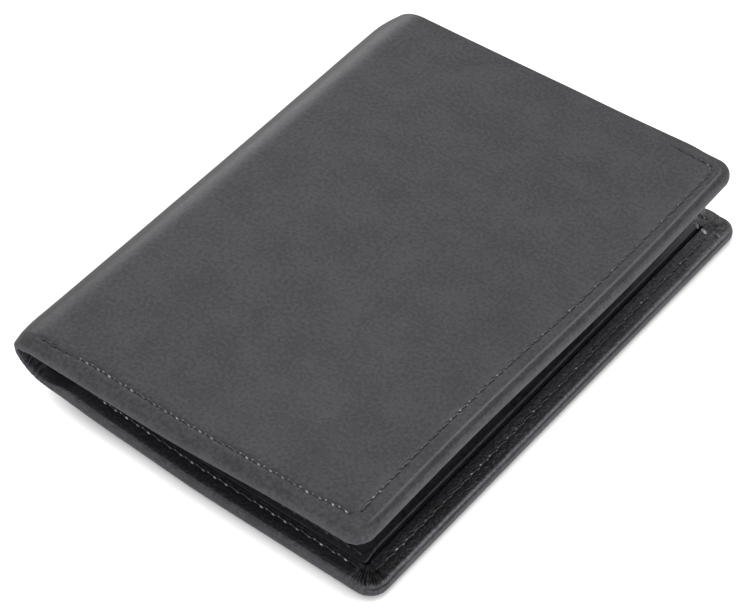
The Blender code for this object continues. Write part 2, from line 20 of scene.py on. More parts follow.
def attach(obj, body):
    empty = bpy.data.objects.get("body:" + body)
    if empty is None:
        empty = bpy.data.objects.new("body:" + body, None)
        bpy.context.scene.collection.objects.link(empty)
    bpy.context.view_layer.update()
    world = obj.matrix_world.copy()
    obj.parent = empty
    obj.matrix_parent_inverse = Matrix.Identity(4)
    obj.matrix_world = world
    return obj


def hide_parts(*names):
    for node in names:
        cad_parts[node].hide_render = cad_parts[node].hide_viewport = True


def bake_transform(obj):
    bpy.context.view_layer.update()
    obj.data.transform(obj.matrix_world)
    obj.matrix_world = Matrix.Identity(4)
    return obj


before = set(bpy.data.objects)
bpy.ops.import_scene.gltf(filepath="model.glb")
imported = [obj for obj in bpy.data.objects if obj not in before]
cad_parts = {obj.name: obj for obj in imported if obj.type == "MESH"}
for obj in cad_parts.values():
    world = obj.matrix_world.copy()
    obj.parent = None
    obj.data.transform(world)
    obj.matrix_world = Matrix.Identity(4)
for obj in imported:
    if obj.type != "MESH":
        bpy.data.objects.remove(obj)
log = logging.getLogger("wallet")

MM = 0.001
MERGE = 0.002 * MM
SLIVER = MERGE / 10
FINE_THREAD = 0.16 * MM
FINE_PITCH = 2.6 * MM
Array = np.ndarray


class Half(Enum):
    """The two halves of the wallet."""

    BACK = "back"
    FRONT = "front"


class Face(Enum):
    """The two faces of a turned half, with the direction in which a stitch stands proud."""

    OUTER = -1.0
    INNER = 1.0


def smooth(value: Array | float) -> Array:
    """Smooth step from 0 to 1."""
    t = np.clip(value, 0.0, 1.0)
    return t * t * (3 - 2 * t)


def bell(value: Array | float) -> Array:
    """Bell curve of height 1 and unit width."""
    return np.exp(-np.square(value))


def steps(low: float, high: float, pitch: float) -> Array:
    """Even places from low to high, both included, about one pitch apart."""
    return np.linspace(low, high, max(2, int(round((high - low) / pitch)) + 1))


@dataclass(frozen=True)
class Ripple:
    """A wave along one direction that leans to and fro across it, by waves of its own.

    Length and cross are the distances in which a wave turns by one radian.
    """

    length: float
    lean: float = 0.0
    cross: float = 1.0

    def at(self, along: Array, across: Array) -> Array:
        """Height of the wave, from -1 to 1."""
        return np.sin(along / self.length + self.lean * np.sin(across / self.cross))


@dataclass(frozen=True)
class Fold:
    """The closed wallet's fold, which turns flat places on the strip into places in the frame."""

    width: float = 91.5 * MM
    height: float = 125.0 * MM
    cover_width: float = 89.1 * MM
    cover_skew: float = 0.5 * MM
    closed_height: float = 15.05 * MM
    spine_depth: float = 8.0 * MM
    lift_near: float = 2.7 * MM
    lift_far: float = 1.8 * MM
    lift_start: float = 40.0 * MM
    fold_taper: float = 1.5 * MM
    rise_near: float = 2.6 * MM
    rise_far: float = 0.8 * MM
    rise_start: float = 36.0 * MM
    rise_end: float = 82.0 * MM
    wave_height: float = 0.8 * MM
    wave_length: float = 108.0 * MM
    wave_offset: float = 3.0 * MM
    wave_start: float = 55.0 * MM
    wave_end: float = 85.0 * MM
    near_taper: float = 0.6 * MM
    near_taper_start: float = 30.0 * MM
    near_taper_end: float = 52.0 * MM
    bulge: float = 2.0 * MM
    bulge_power: float = 1.6
    pinch_near_low: float = 4.8 * MM
    pinch_near_high: float = -0.4 * MM
    pinch_far: float = 2.6 * MM
    pinch_run: float = 8.0 * MM
    probe: float = 0.01 * MM
    samples: int = 200

    def along(self, y: Array) -> Array:
        """Share of the way from the near edge to the far edge."""
        return np.clip(y / self.height, 0.0, 1.0)

    def back_height(self, x: Array, y: Array) -> Array:
        """Height of the back half's outer face.

        Args:
            x: distances from the spine side.
            y: distances from the near edge.

        Returns:
            The heights above the surface that it lies on.
        """
        lift = self.lift_near + (self.lift_far - self.lift_near) * self.along(y)
        run = np.maximum(0.0, (self.lift_start - x) / (self.lift_start - self.spine_depth))
        return lift * run * run

    def cover_height(self, x: Array, y: Array) -> Array:
        """Height of the cover's outer face.

        Args:
            x: distances from the spine side.
            y: distances from the near edge.

        Returns:
            The heights above the surface that it lies on.
        """
        share = self.along(y)
        spine = self.closed_height + self.fold_taper * (2 * share - 1)
        near = self.rise_near * smooth((x - self.rise_start) / (self.rise_end - self.rise_start))
        far = self.rise_far * smooth((x - self.spine_depth) / (self.rise_end - self.spine_depth))
        wave = np.sin(math.tau * (y - self.wave_offset) / self.wave_length)
        wave = wave * self.wave_height * smooth((x - self.wave_start) / (self.wave_end - self.wave_start))
        return spine + near * (1 - share) + far * share + wave

    def spine_point(self, share: Array, y: Array) -> tuple[Array, Array]:
        """Place (x, z) on the spine's outer face, from 0 at the back half to 1 at the cover.

        Args:
            share: shares of the way round the spine.
            y: distances from the near edge.

        Returns:
            Two arrays of x and z.
        """
        near_end = np.square(np.maximum(0.0, 1 - y / self.pinch_run))
        far_end = np.square(np.maximum(0.0, 1 - (self.height - y) / self.pinch_run))
        handle = 4 / 3 * (self.spine_depth + self.bulge * self.along(y) ** self.bulge_power)
        handle = handle - self.pinch_far * far_end
        low_handle = handle - self.pinch_near_low * near_end
        high_handle = handle - self.pinch_near_high * near_end
        low = self.back_height(self.spine_depth, y)
        high = self.cover_height(self.spine_depth, y)
        slope = 2 * low / (self.lift_start - self.spine_depth)
        t, u = share, 1 - share
        a, b, c, d = u * u * u, 3 * u * u * t, 3 * u * t * t, t * t * t
        x = self.spine_depth - low_handle * b - high_handle * c
        z = low * a + (low + slope * low_handle) * b + high * (c + d)
        return x, z

    @cached_property
    def girth(self) -> float:
        """Length of the spine's outer face, half way between the near and far edges.

        Returns:
            The length.
        """
        share = np.linspace(0, 1, self.samples + 1)
        x, z = self.spine_point(share, np.full_like(share, self.height / 2))
        return float(np.hypot(np.diff(x), np.diff(z)).sum())

    @property
    def middle(self) -> float:
        """Flat x of the middle of the spine, seen from either half."""
        return self.spine_depth - self.girth / 2

    @cached_property
    def centre(self) -> float:
        """Flat x of the frame's origin, half way between the spine's bulge and the opening edge."""
        out = self.bulge * ((self.height - self.pinch_run) / self.height) ** self.bulge_power
        return (self.width - out) / 2

    def outer(self, run: Array, y: Array) -> tuple[Array, Array]:
        """Place (x, z) of the outer face, at a distance round the fold from the back's spine side.

        Args:
            run: distances round the fold from the back's spine side.
            y: distances from the near edge.

        Returns:
            Two arrays of x and z.
        """
        back_x = self.spine_depth - run
        reach = run - self.girth
        stretch = 1 + self.cover_skew * (self.along(y) - 0.5) / (self.cover_width - self.spine_depth)
        cover_x = self.spine_depth + reach * stretch
        mid_x, mid_z = self.spine_point(np.clip(run / self.girth, 0, 1), y)
        x = np.where(run < 0, back_x, np.where(run > self.girth, cover_x, mid_x))
        back_z = self.back_height(back_x, y)
        cover_z = self.cover_height(cover_x, y)
        z = np.where(run < 0, back_z, np.where(run > self.girth, cover_z, mid_z))
        return x, z

    def place(self, half: Half, x: Array, y: Array, w: Array) -> Array:
        """Places in the frame of flat places on one half.

        Args:
            half: the half that x is measured on.
            x: distance from the spine side.
            y: distance from the near edge.
            w: depth below the outer face.

        Returns:
            An array with one row of x, y and z for each place, in metres.
        """
        x, y, w = np.broadcast_arrays(*(np.asarray(v, float) for v in (x, y, w)))
        run = self.spine_depth - x if half is Half.BACK else self.girth + x - self.spine_depth
        ox, oz = self.outer(run, y)
        ax, az = self.outer(run + self.probe, y)
        bx, bz = self.outer(run - self.probe, y)
        dx, dz = ax - bx, az - bz
        length = np.hypot(dx, dz)
        px = ox + dz / length * w
        pz = oz - dx / length * w
        taper = smooth((self.near_taper_end - px) / (self.near_taper_end - self.near_taper_start))
        taper = taper * (1 - smooth(run / self.girth))
        shift = self.near_taper * taper * (1 - self.along(y)) ** 3
        return np.stack([px - self.centre, y + shift - self.height / 2, pz], axis=-1)


@dataclass(frozen=True)
class Layers:
    """Depths of the sheets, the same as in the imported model."""

    leather: float = 0.8 * MM
    lining: float = 0.25 * MM
    lining_top: float = 1.1 * MM
    divider_top: float = 1.9 * MM
    folded: float = 1.6 * MM
    hem_top: float = 2.45 * MM
    edge: float = 3.25 * MM
    panel: float = 1.0 * MM
    slot_top: float = 3.55 * MM
    slot_rise: float = 0.8 * MM
    slot_leather: float = 0.5 * MM
    coin_top: float = 3.75 * MM
    coin_room: float = 1.2 * MM
    wall_top: float = 5.25 * MM
    wall: float = 0.7 * MM
    flap_top: float = 6.25 * MM


FOLD = Fold()
LAYERS = Layers()


def end_of(half: Half) -> float:
    """Flat x of a half's opening edge."""
    return FOLD.width if half is Half.BACK else FOLD.cover_width


class Mesh:
    """Vertices and faces gathered from grids, with the flat place kept for the grain.

    Each vertex also keeps a tone, painted shade where it is under 1 and painted highlight where it is over 1.
    """

    def __init__(self) -> None:
        """Starts with no vertices."""
        self.points: list[Array] = []
        self.grain: list[Array] = []
        self.tones: list[Array] = []
        self.faces: list[tuple[int, ...]] = []
        self.count = 0

    def add(self, points: Array, grain: Array, tone: Array | float = 1.0) -> int:
        """Adds vertices.

        Args:
            points: array of places in the frame.
            grain: the flat places of the same vertices.
            tone: the tones of the same vertices.

        Returns:
            The number of the first.
        """
        first = self.count
        self.points.append(points.reshape(-1, 3))
        self.grain.append(grain.reshape(-1, 3))
        self.tones.append(np.broadcast_to(tone, points.shape[:-1]).ravel())
        self.count += self.points[-1].shape[0]
        return first

    def grid(self, points: Array, grain: Array, closed: bool = False, tone: Array | float = 1.0) -> None:
        """Adds a grid of quads.

        Args:
            points: array of rows, columns and coordinates.
            grain: the flat places of the same grid.
            closed: whether the last column joins the first.
            tone: the tones of the same grid.
        """
        rows, columns = points.shape[:2]
        first = self.add(points, grain, tone)
        span = columns if closed else columns - 1
        for i in range(rows - 1):
            for j in range(span):
                k = (j + 1) % columns
                a, b = first + i * columns, first + (i + 1) * columns
                self.faces.append((a + j, a + k, b + k, b + j))

    def fan(self, ring: Sequence[int]) -> None:
        """Closes a ring of vertices with one face."""
        self.faces.append(tuple(ring))

    def make(self, name: str, material: bpy.types.Material, sharp: float = 50.0) -> bpy.types.Object:
        """Joins what meets, closes the ends and makes the object.

        Args:
            name: the piece's name.
            material: its finish.
            sharp: angle in degrees over which an edge stays sharp.

        Returns:
            The new object, linked to the scene.
        """
        mesh = bpy.data.meshes.new(name)
        mesh.from_pydata(np.concatenate(self.points).tolist(), [], self.faces)
        layer = mesh.attributes.new("grain", "FLOAT_VECTOR", "POINT")
        layer.data.foreach_set("vector", np.concatenate(self.grain).astype(np.float32).ravel())
        tones = mesh.attributes.new("tone", "FLOAT", "POINT")
        tones.data.foreach_set("value", np.concatenate(self.tones).astype(np.float32))
        bm = bmesh.new()
        bm.from_mesh(mesh)
        bmesh.ops.remove_doubles(bm, verts=bm.verts, dist=MERGE)
        bmesh.ops.dissolve_degenerate(bm, edges=bm.edges, dist=SLIVER)
        rims = [edge for edge in bm.edges if len(edge.link_faces) == 1]
        if rims:
            filled = bmesh.ops.holes_fill(bm, edges=rims, sides=0)
            bmesh.ops.triangulate(bm, faces=filled["faces"])
        bmesh.ops.recalc_face_normals(bm, faces=bm.faces)
        if bm.calc_volume(signed=True) < 0:
            bmesh.ops.reverse_faces(bm, faces=bm.faces)
        bm.to_mesh(mesh)
        bm.free()
        mesh.materials.append(material)
        mesh.shade_smooth()
        mesh.set_sharp_from_angle(angle=math.radians(sharp))
        made = bpy.data.objects.new(name, mesh)
        bpy.context.scene.collection.objects.link(made)
        log.info("%s: %d faces", name, len(mesh.polygons))
        return made


class Nodes:
    """Short way to write a material's nodes."""

    def __init__(self, name: str) -> None:
        """Makes the material and clears its nodes.

        Args:
            name: the material's name.
        """
        self.material = bpy.data.materials.new(name)
        self.material.use_nodes = True
        self.tree = self.material.node_tree
        self.tree.nodes.clear()
        self.output = self.tree.nodes.new("ShaderNodeOutputMaterial")

    def add(self, kind: str, settings: dict | None = None, **inputs: object) -> bpy.types.Node:
        """Adds a node.

        Args:
            kind: the node's type without its ShaderNode prefix.
            settings: properties to set on the node itself.
            inputs: socket names, with underscores for spaces, and their values or source sockets.

        Returns:
            The new node.
        """
        node = self.tree.nodes.new(f"ShaderNode{kind}")
        for key, value in (settings or {}).items():
            setattr(node, key, value)
        for key, value in inputs.items():
            socket = node.inputs[int(key[1:])] if key[1:].isdigit() else node.inputs[key.replace("_", " ")]
            if isinstance(value, bpy.types.NodeSocket):
                self.tree.links.new(value, socket)
            else:
                socket.default_value = value
        return node

    def ramp(
        self, fac: bpy.types.NodeSocket, stops: Sequence[tuple[float, Sequence[float]]],
    ) -> bpy.types.NodeSocket:
        """Adds a colour ramp.

        Args:
            fac: the value that picks the colour.
            stops: places on the ramp, each with its colour.

        Returns:
            The socket of the colour.
        """
        node = self.add("ValToRGB", Fac=fac)
        elements = node.color_ramp.elements
        while len(elements) < len(stops):
            elements.new(0.5)
        for element, (place, colour) in zip(elements, stops):
            element.position = place
            element.color = (*colour, 1.0)
        return node.outputs["Color"]

    def finish(self, surface: bpy.types.NodeSocket) -> bpy.types.Material:
        """Joins the surface to the output."""
        self.tree.links.new(surface, self.output.inputs["Surface"])
        return self.material


@dataclass(frozen=True)
class LeatherFinish:
    """Smooth leather with cloudy tone, fine pores and a soft sheen, and wrinkles on its turned-in side.

    The turned-in side is darkened as painted shade, and each vertex's tone of painted shade and
    highlight is multiplied into the colour.
    """

    name: str
    dark: tuple[float, float, float]
    light: tuple[float, float, float]
    roughness: float
    gloss: float
    sheen: float
    grain_depth: float = 0.018 * MM
    cloud: float = 9.0 * MM
    mottle: float = 0.8 * MM
    pore: float = 0.42 * MM
    crease: float = 1.6 * MM
    wrinkle: float = 1.1 * MM
    wrinkle_depth: float = 0.4 * MM
    turned_in: float = 2.3 * MM
    # Share of painted shade on the turned-in side.
    turned_shade: float = 0.78
    turned_gloss: float = 0.14
    cloud_share: float = 0.8
    mottle_share: float = 2.2
    mottle_base: float = -0.985
    crease_share: float = 1.6
    matt_range: tuple[float, float] = (-0.04, 0.06)

    def material(self) -> bpy.types.Material:
        """Builds the material.

        Returns:
            The new material.
        """
        n = Nodes(self.name)
        place = n.add("Attribute", {"attribute_name": "grain"}).outputs["Vector"]
        cloud = n.add("TexNoise", Vector=place, Scale=1 / self.cloud, Detail=3.0, Roughness=0.55)
        mottle = n.add("TexNoise", Vector=place, Scale=1 / self.mottle, Detail=4.0, Roughness=0.7)
        scaled = {"operation": "MULTIPLY_ADD"}
        mix = n.add("Math", scaled, _0=mottle.outputs["Fac"], _1=self.mottle_share, _2=self.mottle_base)
        both = n.add("Math", scaled, _0=cloud.outputs["Fac"], _1=self.cloud_share, _2=mix.outputs[0])
        colour = n.ramp(both.outputs[0], ((0.3, self.dark), (0.72, self.light)))
        pores = n.add("TexVoronoi", {"feature": "DISTANCE_TO_EDGE"}, Vector=place, Scale=1 / self.pore)
        pits = n.add("MapRange", Value=pores.outputs["Distance"], From_Max=0.16)
        creases = n.add("TexNoise", Vector=place, Scale=1 / self.crease, Detail=5.0, Roughness=0.62)
        relief = n.add("Math", scaled, _0=creases.outputs["Fac"], _1=self.crease_share, _2=pits.outputs[0])
        grain = n.add("Bump", Strength=0.55, Distance=self.grain_depth, Height=relief.outputs[0])
        depth = n.add("SeparateXYZ", Vector=place).outputs["Z"]
        inside = n.add("MapRange", Value=depth, From_Min=self.turned_in, From_Max=1.3 * self.turned_in)
        folds = n.add(
            "TexNoise", Vector=place, Scale=1 / self.wrinkle, Detail=2.0, Roughness=0.5, Distortion=1.4
        )
        patchy = n.add("Math", {"operation": "MULTIPLY"}, _0=folds.outputs["Fac"], _1=inside.outputs[0])
        bump = n.add(
            "Bump", Strength=0.7, Distance=self.wrinkle_depth, Height=patchy.outputs[0], Normal=grain.outputs[0]
        )
        low, high = (self.roughness + part for part in self.matt_range)
        rough = n.add(
            "MapRange", Value=mottle.outputs["Fac"], From_Min=0.3, From_Max=0.7, To_Min=low, To_Max=high
        )
        polish = n.add("Math", scaled, _0=inside.outputs[0], _1=-self.turned_gloss, _2=rough.outputs[0])
        # Painted shade: the colour is darkened on the turned-in side.
        deep = n.add("MapRange", Value=inside.outputs[0], To_Min=1.0, To_Max=self.turned_shade)
        # The tone attribute holds each vertex's painted shade and painted highlight.
        painted_light = n.add("Attribute", {"attribute_name": "tone"})
        tone = n.add("Math", {"operation": "MULTIPLY"}, _0=deep.outputs[0], _1=painted_light.outputs["Fac"])
        shade = n.add("VectorMath", {"operation": "SCALE"}, _0=colour, Scale=tone.outputs[0])
        shader = n.add(
            "BsdfPrincipled", Base_Color=shade.outputs[0], Roughness=polish.outputs[0], Normal=bump.outputs[0]
        )
        shader.inputs["Specular IOR Level"].default_value = self.gloss
        shader.inputs["Sheen Weight"].default_value = self.sheen
        shader.inputs["Sheen Roughness"].default_value = 0.45
        return n.finish(shader.outputs[0])


@dataclass(frozen=True)
class ClothFinish:
    """Thin woven lining."""

    name: str
    dark: tuple[float, float, float]
    light: tuple[float, float, float]
    thread: float = 0.32 * MM
    depth: float = 0.03 * MM
    slub: float = 3.0 * MM

    def material(self) -> bpy.types.Material:
        """Builds the material.

        Returns:
            The new material.
        """
        n = Nodes(self.name)
        place = n.add("Attribute", {"attribute_name": "grain"}).outputs["Vector"]
        scale = math.tau / (20 * self.thread)
        warp = n.add("TexWave", {"bands_direction": "X"}, Vector=place, Scale=scale, Distortion=0.6)
        weft = n.add("TexWave", {"bands_direction": "Y"}, Vector=place, Scale=scale, Distortion=0.6)
        weave = n.add("Math", {"operation": "MAXIMUM"}, _0=warp.outputs["Fac"], _1=weft.outputs["Fac"])
        uneven = n.add("TexNoise", Vector=place, Scale=1 / self.slub, Detail=3.0)
        tone = n.add("Math", {"operation": "MULTIPLY"}, _0=weave.outputs[0], _1=uneven.outputs["Fac"])
        colour = n.ramp(tone.outputs[0], ((0.1, self.dark), (0.7, self.light)))
        bump = n.add("Bump", Strength=0.6, Distance=self.depth, Height=weave.outputs[0])
        shader = n.add("BsdfPrincipled", Base_Color=colour, Normal=bump.outputs[0])
        shader.inputs["Roughness"].default_value = 0.8
        shader.inputs["Sheen Weight"].default_value = 0.3
        return n.finish(shader.outputs[0])


@dataclass(frozen=True)
class ThreadFinish:
    """Waxed sewing thread, with its plies as slanted bands and painted highlights where it bends into its
    holes, of random strength.
    """

    name: str
    colour: tuple[float, float, float]
    # Colour of the painted highlights at the stitches' ends.
    painted_light: tuple[float, float, float]
    ply: float = 0.35 * MM
    ply_depth: float = 0.03 * MM
    ply_shade: float = 0.45
    bend_start: float = 0.62 * MM
    bend_end: float = 0.95 * MM

    def material(self) -> bpy.types.Material:
        """Builds the material.

        Returns:
            The new material.
        """
        n = Nodes(self.name)
        place = n.add("Attribute", {"attribute_name": "grain"}).outputs["Vector"]
        bands = n.add("TexWave", {"bands_direction": "DIAGONAL"}, Vector=place, Scale=1 / (6 * self.ply))
        deep = tuple(self.ply_shade * c for c in self.colour)
        colour = n.ramp(bands.outputs["Fac"], ((0.1, deep), (0.8, self.colour)))
        bump = n.add("Bump", Strength=0.5, Distance=self.ply_depth, Height=bands.outputs["Fac"])
        parts = n.add("SeparateXYZ", Vector=place)
        # Painted highlight: near both ends of a stitch the thread turns to its lighter glint colour, at
        # random strength.
        off = n.add("Math", {"operation": "ABSOLUTE"}, _0=parts.outputs["X"])
        bend = n.add("MapRange", Value=off.outputs[0], From_Min=self.bend_start, From_Max=self.bend_end)
        chance = n.add("TexWhiteNoise", {"noise_dimensions": "1D"}, W=parts.outputs["Z"])
        patchy = n.add("MapRange", Value=chance.outputs["Value"], From_Min=0.1, From_Max=0.9, To_Min=0.1)
        painted_highlight = n.add("Math", {"operation": "MULTIPLY"}, _0=bend.outputs[0], _1=patchy.outputs[0])
        blend = n.add("Mix", {"data_type": "RGBA"}, _0=painted_highlight.outputs[0], _6=colour, _7=(*self.painted_light, 1.0))
        shader = n.add("BsdfPrincipled", Base_Color=blend.outputs[2], Normal=bump.outputs[0])
        shader.inputs["Roughness"].default_value = 0.38
        shader.inputs["Specular IOR Level"].default_value = 0.6
        return n.finish(shader.outputs[0])


@dataclass(frozen=True)
class MetalFinish:
    """Nickelled steel with fine turning marks."""

    name: str
    colour: tuple[float, float, float]
    roughness: float
    mark: float = 0.6 * MM
    mark_depth: float = 0.02 * MM
    mark_shade: float = 0.85
    matt_range: tuple[float, float] = (-0.08, 0.12)

    def material(self) -> bpy.types.Material:
        """Builds the material.

        Returns:
            The new material.
        """
        n = Nodes(self.name)
        place = n.add("TexCoord").outputs["Object"]
        noise = n.add("TexNoise", Vector=place, Scale=1 / self.mark, Detail=3.0)
        low, high = (self.roughness + part for part in self.matt_range)
        rough = n.add("MapRange", Value=noise.outputs["Fac"], To_Min=low, To_Max=high)
        bump = n.add("Bump", Strength=0.15, Distance=self.mark_depth, Height=noise.outputs["Fac"])
        deep = tuple(self.mark_shade * c for c in self.colour)
        tint = n.ramp(noise.outputs["Fac"], ((0.2, deep), (0.8, self.colour)))
        shader = n.add("BsdfPrincipled", Base_Color=tint, Roughness=rough.outputs[0], Normal=bump.outputs[0])
        shader.inputs["Metallic"].default_value = 1.0
        return n.finish(shader.outputs[0])


@dataclass(frozen=True)
class Outline:
    """Plan of one half: straight near side, opening side and far side, with two round corners.

    The worked border is as wide as band. A corner's round shrinks to a point at its inner side.
    """

    start: float
    end: float
    height: float
    radius: float
    band: float = 6.0 * MM
    far_radius: float = 4.0 * MM
    far_pull: float = 0.0
    pull_start: float = 45.0 * MM
    pull_run: float = 30.0 * MM
    push: float = 0.0
    pull_low: float = 70.0 * MM
    pull_rise: float = 50.0 * MM
    push_reach: float = 10.0 * MM
    push_run: float = 6.0 * MM

    @property
    def reach(self) -> float:
        """Length of the near side up to the corner's border."""
        return self.end - self.band - self.start

    @property
    def arc(self) -> float:
        """Length of one corner along the edge."""
        return 2 * (self.band - self.radius) + math.pi / 2 * self.radius

    @property
    def side(self) -> float:
        """Length of the opening side between the corners' borders."""
        return self.height - 2 * self.band

    @property
    def total(self) -> float:
        """Length of the whole outline."""
        return 2 * self.reach + 2 * self.arc + self.side

    def rounded(self, share: Array, d: Array, full: float) -> tuple[Array, Array]:
        """Distances from a corner's second and first side, at a share of the way round it.

        Args:
            share: shares of the way round, from 0 to 1.
            d: distances in from the edge.
            full: radius of the corner's edge.

        Returns:
            Two arrays of distances.
        """
        share, d = np.broadcast_arrays(np.asarray(share, float), np.asarray(d, float))
        radius = full * np.clip(1 - d / self.band, 0, 1)
        centre = d + radius
        lead = self.band - centre
        walk = share * (2 * lead + math.pi / 2 * radius)
        angle = np.clip((walk - lead) / np.maximum(radius, MERGE), 0, math.pi / 2)
        late = np.maximum(walk - lead - math.pi / 2 * radius, 0)
        second = np.where(walk < lead, self.band - walk, centre - radius * np.sin(angle))
        first = centre - radius * np.cos(angle) + late
        return second, first

    def at(self, s: Array, d: Array) -> tuple[Array, Array]:
        """Flat place at a distance s along the outline and d inwards from it.

        Args:
            s: distances along the outline.
            d: distances in from the edge.

        Returns:
            Two arrays of flat places x and y.
        """
        s, d = np.broadcast_arrays(np.asarray(s, float), np.asarray(d, float))
        near = self.corner(s, False)
        far = self.corner(s, True)
        after = self.reach + self.arc
        beyond = after + self.side
        across, up = self.rounded(near, d, self.radius)
        across_far, down = self.rounded(1 - far, d, self.far_radius)
        stretches = [s < self.reach, s <= after, s < beyond, s <= beyond + self.arc]
        xs = [self.start + s, self.end - across, self.end - d, self.end - across_far]
        ys = [d, up, self.band + s - after, self.height - down]
        x = np.select(stretches, xs, self.start + self.total - s)
        y = np.select(stretches, ys, self.height - d)
        return self.warped(x, y)

    def warped(self, x: Array, y: Array) -> tuple[Array, Array]:
        """Draws the far side in towards the opening edge, and the opening edge slightly out.

        Args:
            x: distances from the spine side.
            y: distances from the near edge.

        Returns:
            Two arrays of flat places x and y.
        """
        pull = smooth((x - self.pull_start) / self.pull_run) * smooth((y - self.pull_low) / self.pull_rise)
        out = smooth((x - self.end + self.push_reach) / self.push_run)
        return x + self.push * out, y - self.far_pull * pull

    def corner(self, s: Array, far: bool) -> Array:
        """Share of the way round a corner, from 0 to 1."""
        before = self.reach + (self.arc + self.side if far else 0)
        return np.clip((np.asarray(s, float) - before) / self.arc, 0, 1)


@dataclass(frozen=True)
class Edge:
    """Shape of a turned edge on one side.

    The round reaches in by outer and inner on the two faces, crown is the share of the
    thickness at which it is widest and hem is the depth of the turning. Crest is the height
    of the bead beside the round and of the groove between them, fall is how far the outer face
    sinks towards the round, rim is the height of the bead on the inner face and slit is the
    depth of the line below that bead, round the side.
    """

    outer: float
    inner: float
    crown: float
    hem: float
    crest: float = 0.0
    fall: float = 0.0
    rim: float = 0.0
    slit: float = 0.0


@dataclass
class TurnedHalf:
    """Half of the leather strip, from the middle of the spine to its turned and stitched edges.

    Inset_knots give the seam's distance from the edge at places along the outline: 0 to 1 on the
    near side, 1 to 2 on the opening side and 2 to 3 on the far side. Crest and groove lie beside
    the round on the outer face, and the slit lies round the side. The tone fields paint shade into
    the seam's channel and holes, between the bead and its groove, into the slit, the pleats' folds
    and along the hem's near side, and paint highlight on the ridge, the nose, the rim and the pleats.
    """

    half: Half
    near: Edge
    opening: Edge
    far: Edge
    inset_knots: Sequence[tuple[float, float]]
    far_pull: float = 0.0
    pull_start: float = 45.0 * MM
    pull_run: float = 30.0 * MM
    push: float = 0.0
    pitch: float = 2.9 * MM
    radius: float = 4.0 * MM
    far_radius: float = 4.0 * MM
    band: float = 6.0 * MM
    seam_start: float = 6.5 * MM
    seam_stop: float = 7.5 * MM
    seam_samples: int = 4000
    channel: float = 0.11 * MM
    channel_width: float = 0.62 * MM
    # Share of painted shade in the seam's channel.
    channel_shade: float = 0.3
    dimple: float = 0.2 * MM
    dimple_share: float = 0.45
    # Share of painted shade at the needle holes.
    hole_shade: float = 0.4
    swell: float = 0.018 * MM
    swells: tuple[Ripple, Ripple, Ripple] = (
        Ripple(7.1 * MM, 1.7, 19 * MM), Ripple(9.3 * MM, 1.3, 13 * MM), Ripple(4.7 * MM, 1.0, 11 * MM),
    )
    crest_place: float = 0.73 * MM
    crest_width: float = 0.44 * MM
    groove_place: float = 0.12 * MM
    groove_width: float = 0.28 * MM
    groove_depth: float = 1.5
    slit_place: float = 0.62 * MM
    slit_width: float = 0.17 * MM
    slit_uneven: float = 0.3
    slit_wave: Ripple = Ripple(6.1 * MM, 2.0, 17 * MM)
    fall_reach: float = 3.3 * MM
    rim_reach: float = 0.6 * MM
    pleat: float = 0.55 * MM
    pleats: int = 13
    pleat_rise: float = 0.3 * MM
    pleat_end: float = 4.2 * MM
    pleat_fade: float = 1.6 * MM
    pleat_uneven: float = 0.28
    pleat_lean: Ripple = Ripple(1 / 9)
    pleat_wander: Ripple = Ripple(0.9 * MM)
    far_pleat: float = 0.3
    gather_start: float = 0.12
    corner_softness: float = 0.7 * MM
    crest_full: float = 0.25 * MM
    # Shares of painted shade (step, slit, pleat folds, near side) and painted highlight (ridge, nose, rim,
    # pleats) in the tone.
    step_shade: float = 0.45
    ridge_highlight: float = 0.16
    nose_highlight: float = 0.34
    rim_highlight: float = 12.0
    slit_shade: float = 1.3
    pleat_highlight: float = 0.4
    pleat_shade: float = 1.1
    near_shade: float = 0.48
    near_shade_end: float = 15.0 * MM
    near_shade_fade: float = 50.0 * MM
    spine_crease: float = 0.55 * MM
    spine_crease_pitch: float = 1.9 * MM
    spine_crease_end: float = 8.0 * MM
    spine_crease_fade: float = 6.0 * MM
    spine_crease_reach: float = 4.0 * MM
    crease_leans: tuple[Ripple, Ripple] = (Ripple(0.9 * MM), Ripple(2.9 * MM))
    crease_power: float = 1.4
    turn_start: float = 8.0 * MM
    turn_end: float = 15.0 * MM
    gap: float = 0.03 * MM
    folded_outer: float = 0.7 * MM
    folded_inner: float = 0.6 * MM
    hem_rows: int = 17
    hem_edge: float = 0.2 * MM
    hem_round: float = 0.15 * MM
    hem_lap: float = 1.2 * MM
    hem_flat: float = 3.5 * MM
    arc_samples: int = 110
    outline: Outline = field(init=False)

    def __post_init__(self) -> None:
        """Makes the outline from the half's own measures."""
        self.outline = Outline(
            FOLD.middle, end_of(self.half), FOLD.height, self.radius, self.band,
            self.far_radius, self.far_pull, self.pull_start, self.pull_run, self.push,
        )

    @cached_property
    def seam(self) -> tuple[Array, Array]:
        """Distances along the outline, and the length of the seam up to each.

        Returns:
            Two arrays of distances and lengths.
        """
        s = np.linspace(0, self.outline.total, self.seam_samples)
        x, y = self.outline.at(s, self.inset(s))
        length = np.concatenate([[0], np.cumsum(np.hypot(np.diff(x), np.diff(y)))])
        return s, length

    def inset(self, s: Array) -> Array:
        """Distance of the seam from the edge.

        Args:
            s: distances along the outline.

        Returns:
            The distances in from the edge.
        """
        shares, insets = zip(*self.inset_knots)
        places = np.array([self.knot_place(share) for share in shares])
        return np.interp(s, places, np.array(insets))

    def knot_place(self, share: float) -> float:
        """Distance along the outline of a knot, given as a share.

        Args:
            share: the knot's place, from 0 to 3.

        Returns:
            The distance.
        """
        o = self.outline
        if share <= 1:
            return share * o.reach
        if share <= 2:
            return o.reach + o.arc + (share - 1) * o.side
        return o.reach + 2 * o.arc + o.side + (share - 2) * o.reach

    def phase(self, s: Array) -> Array:
        """Count of stitches up to a distance along the outline."""
        places, lengths = self.seam
        return np.interp(s, places, lengths) / self.pitch

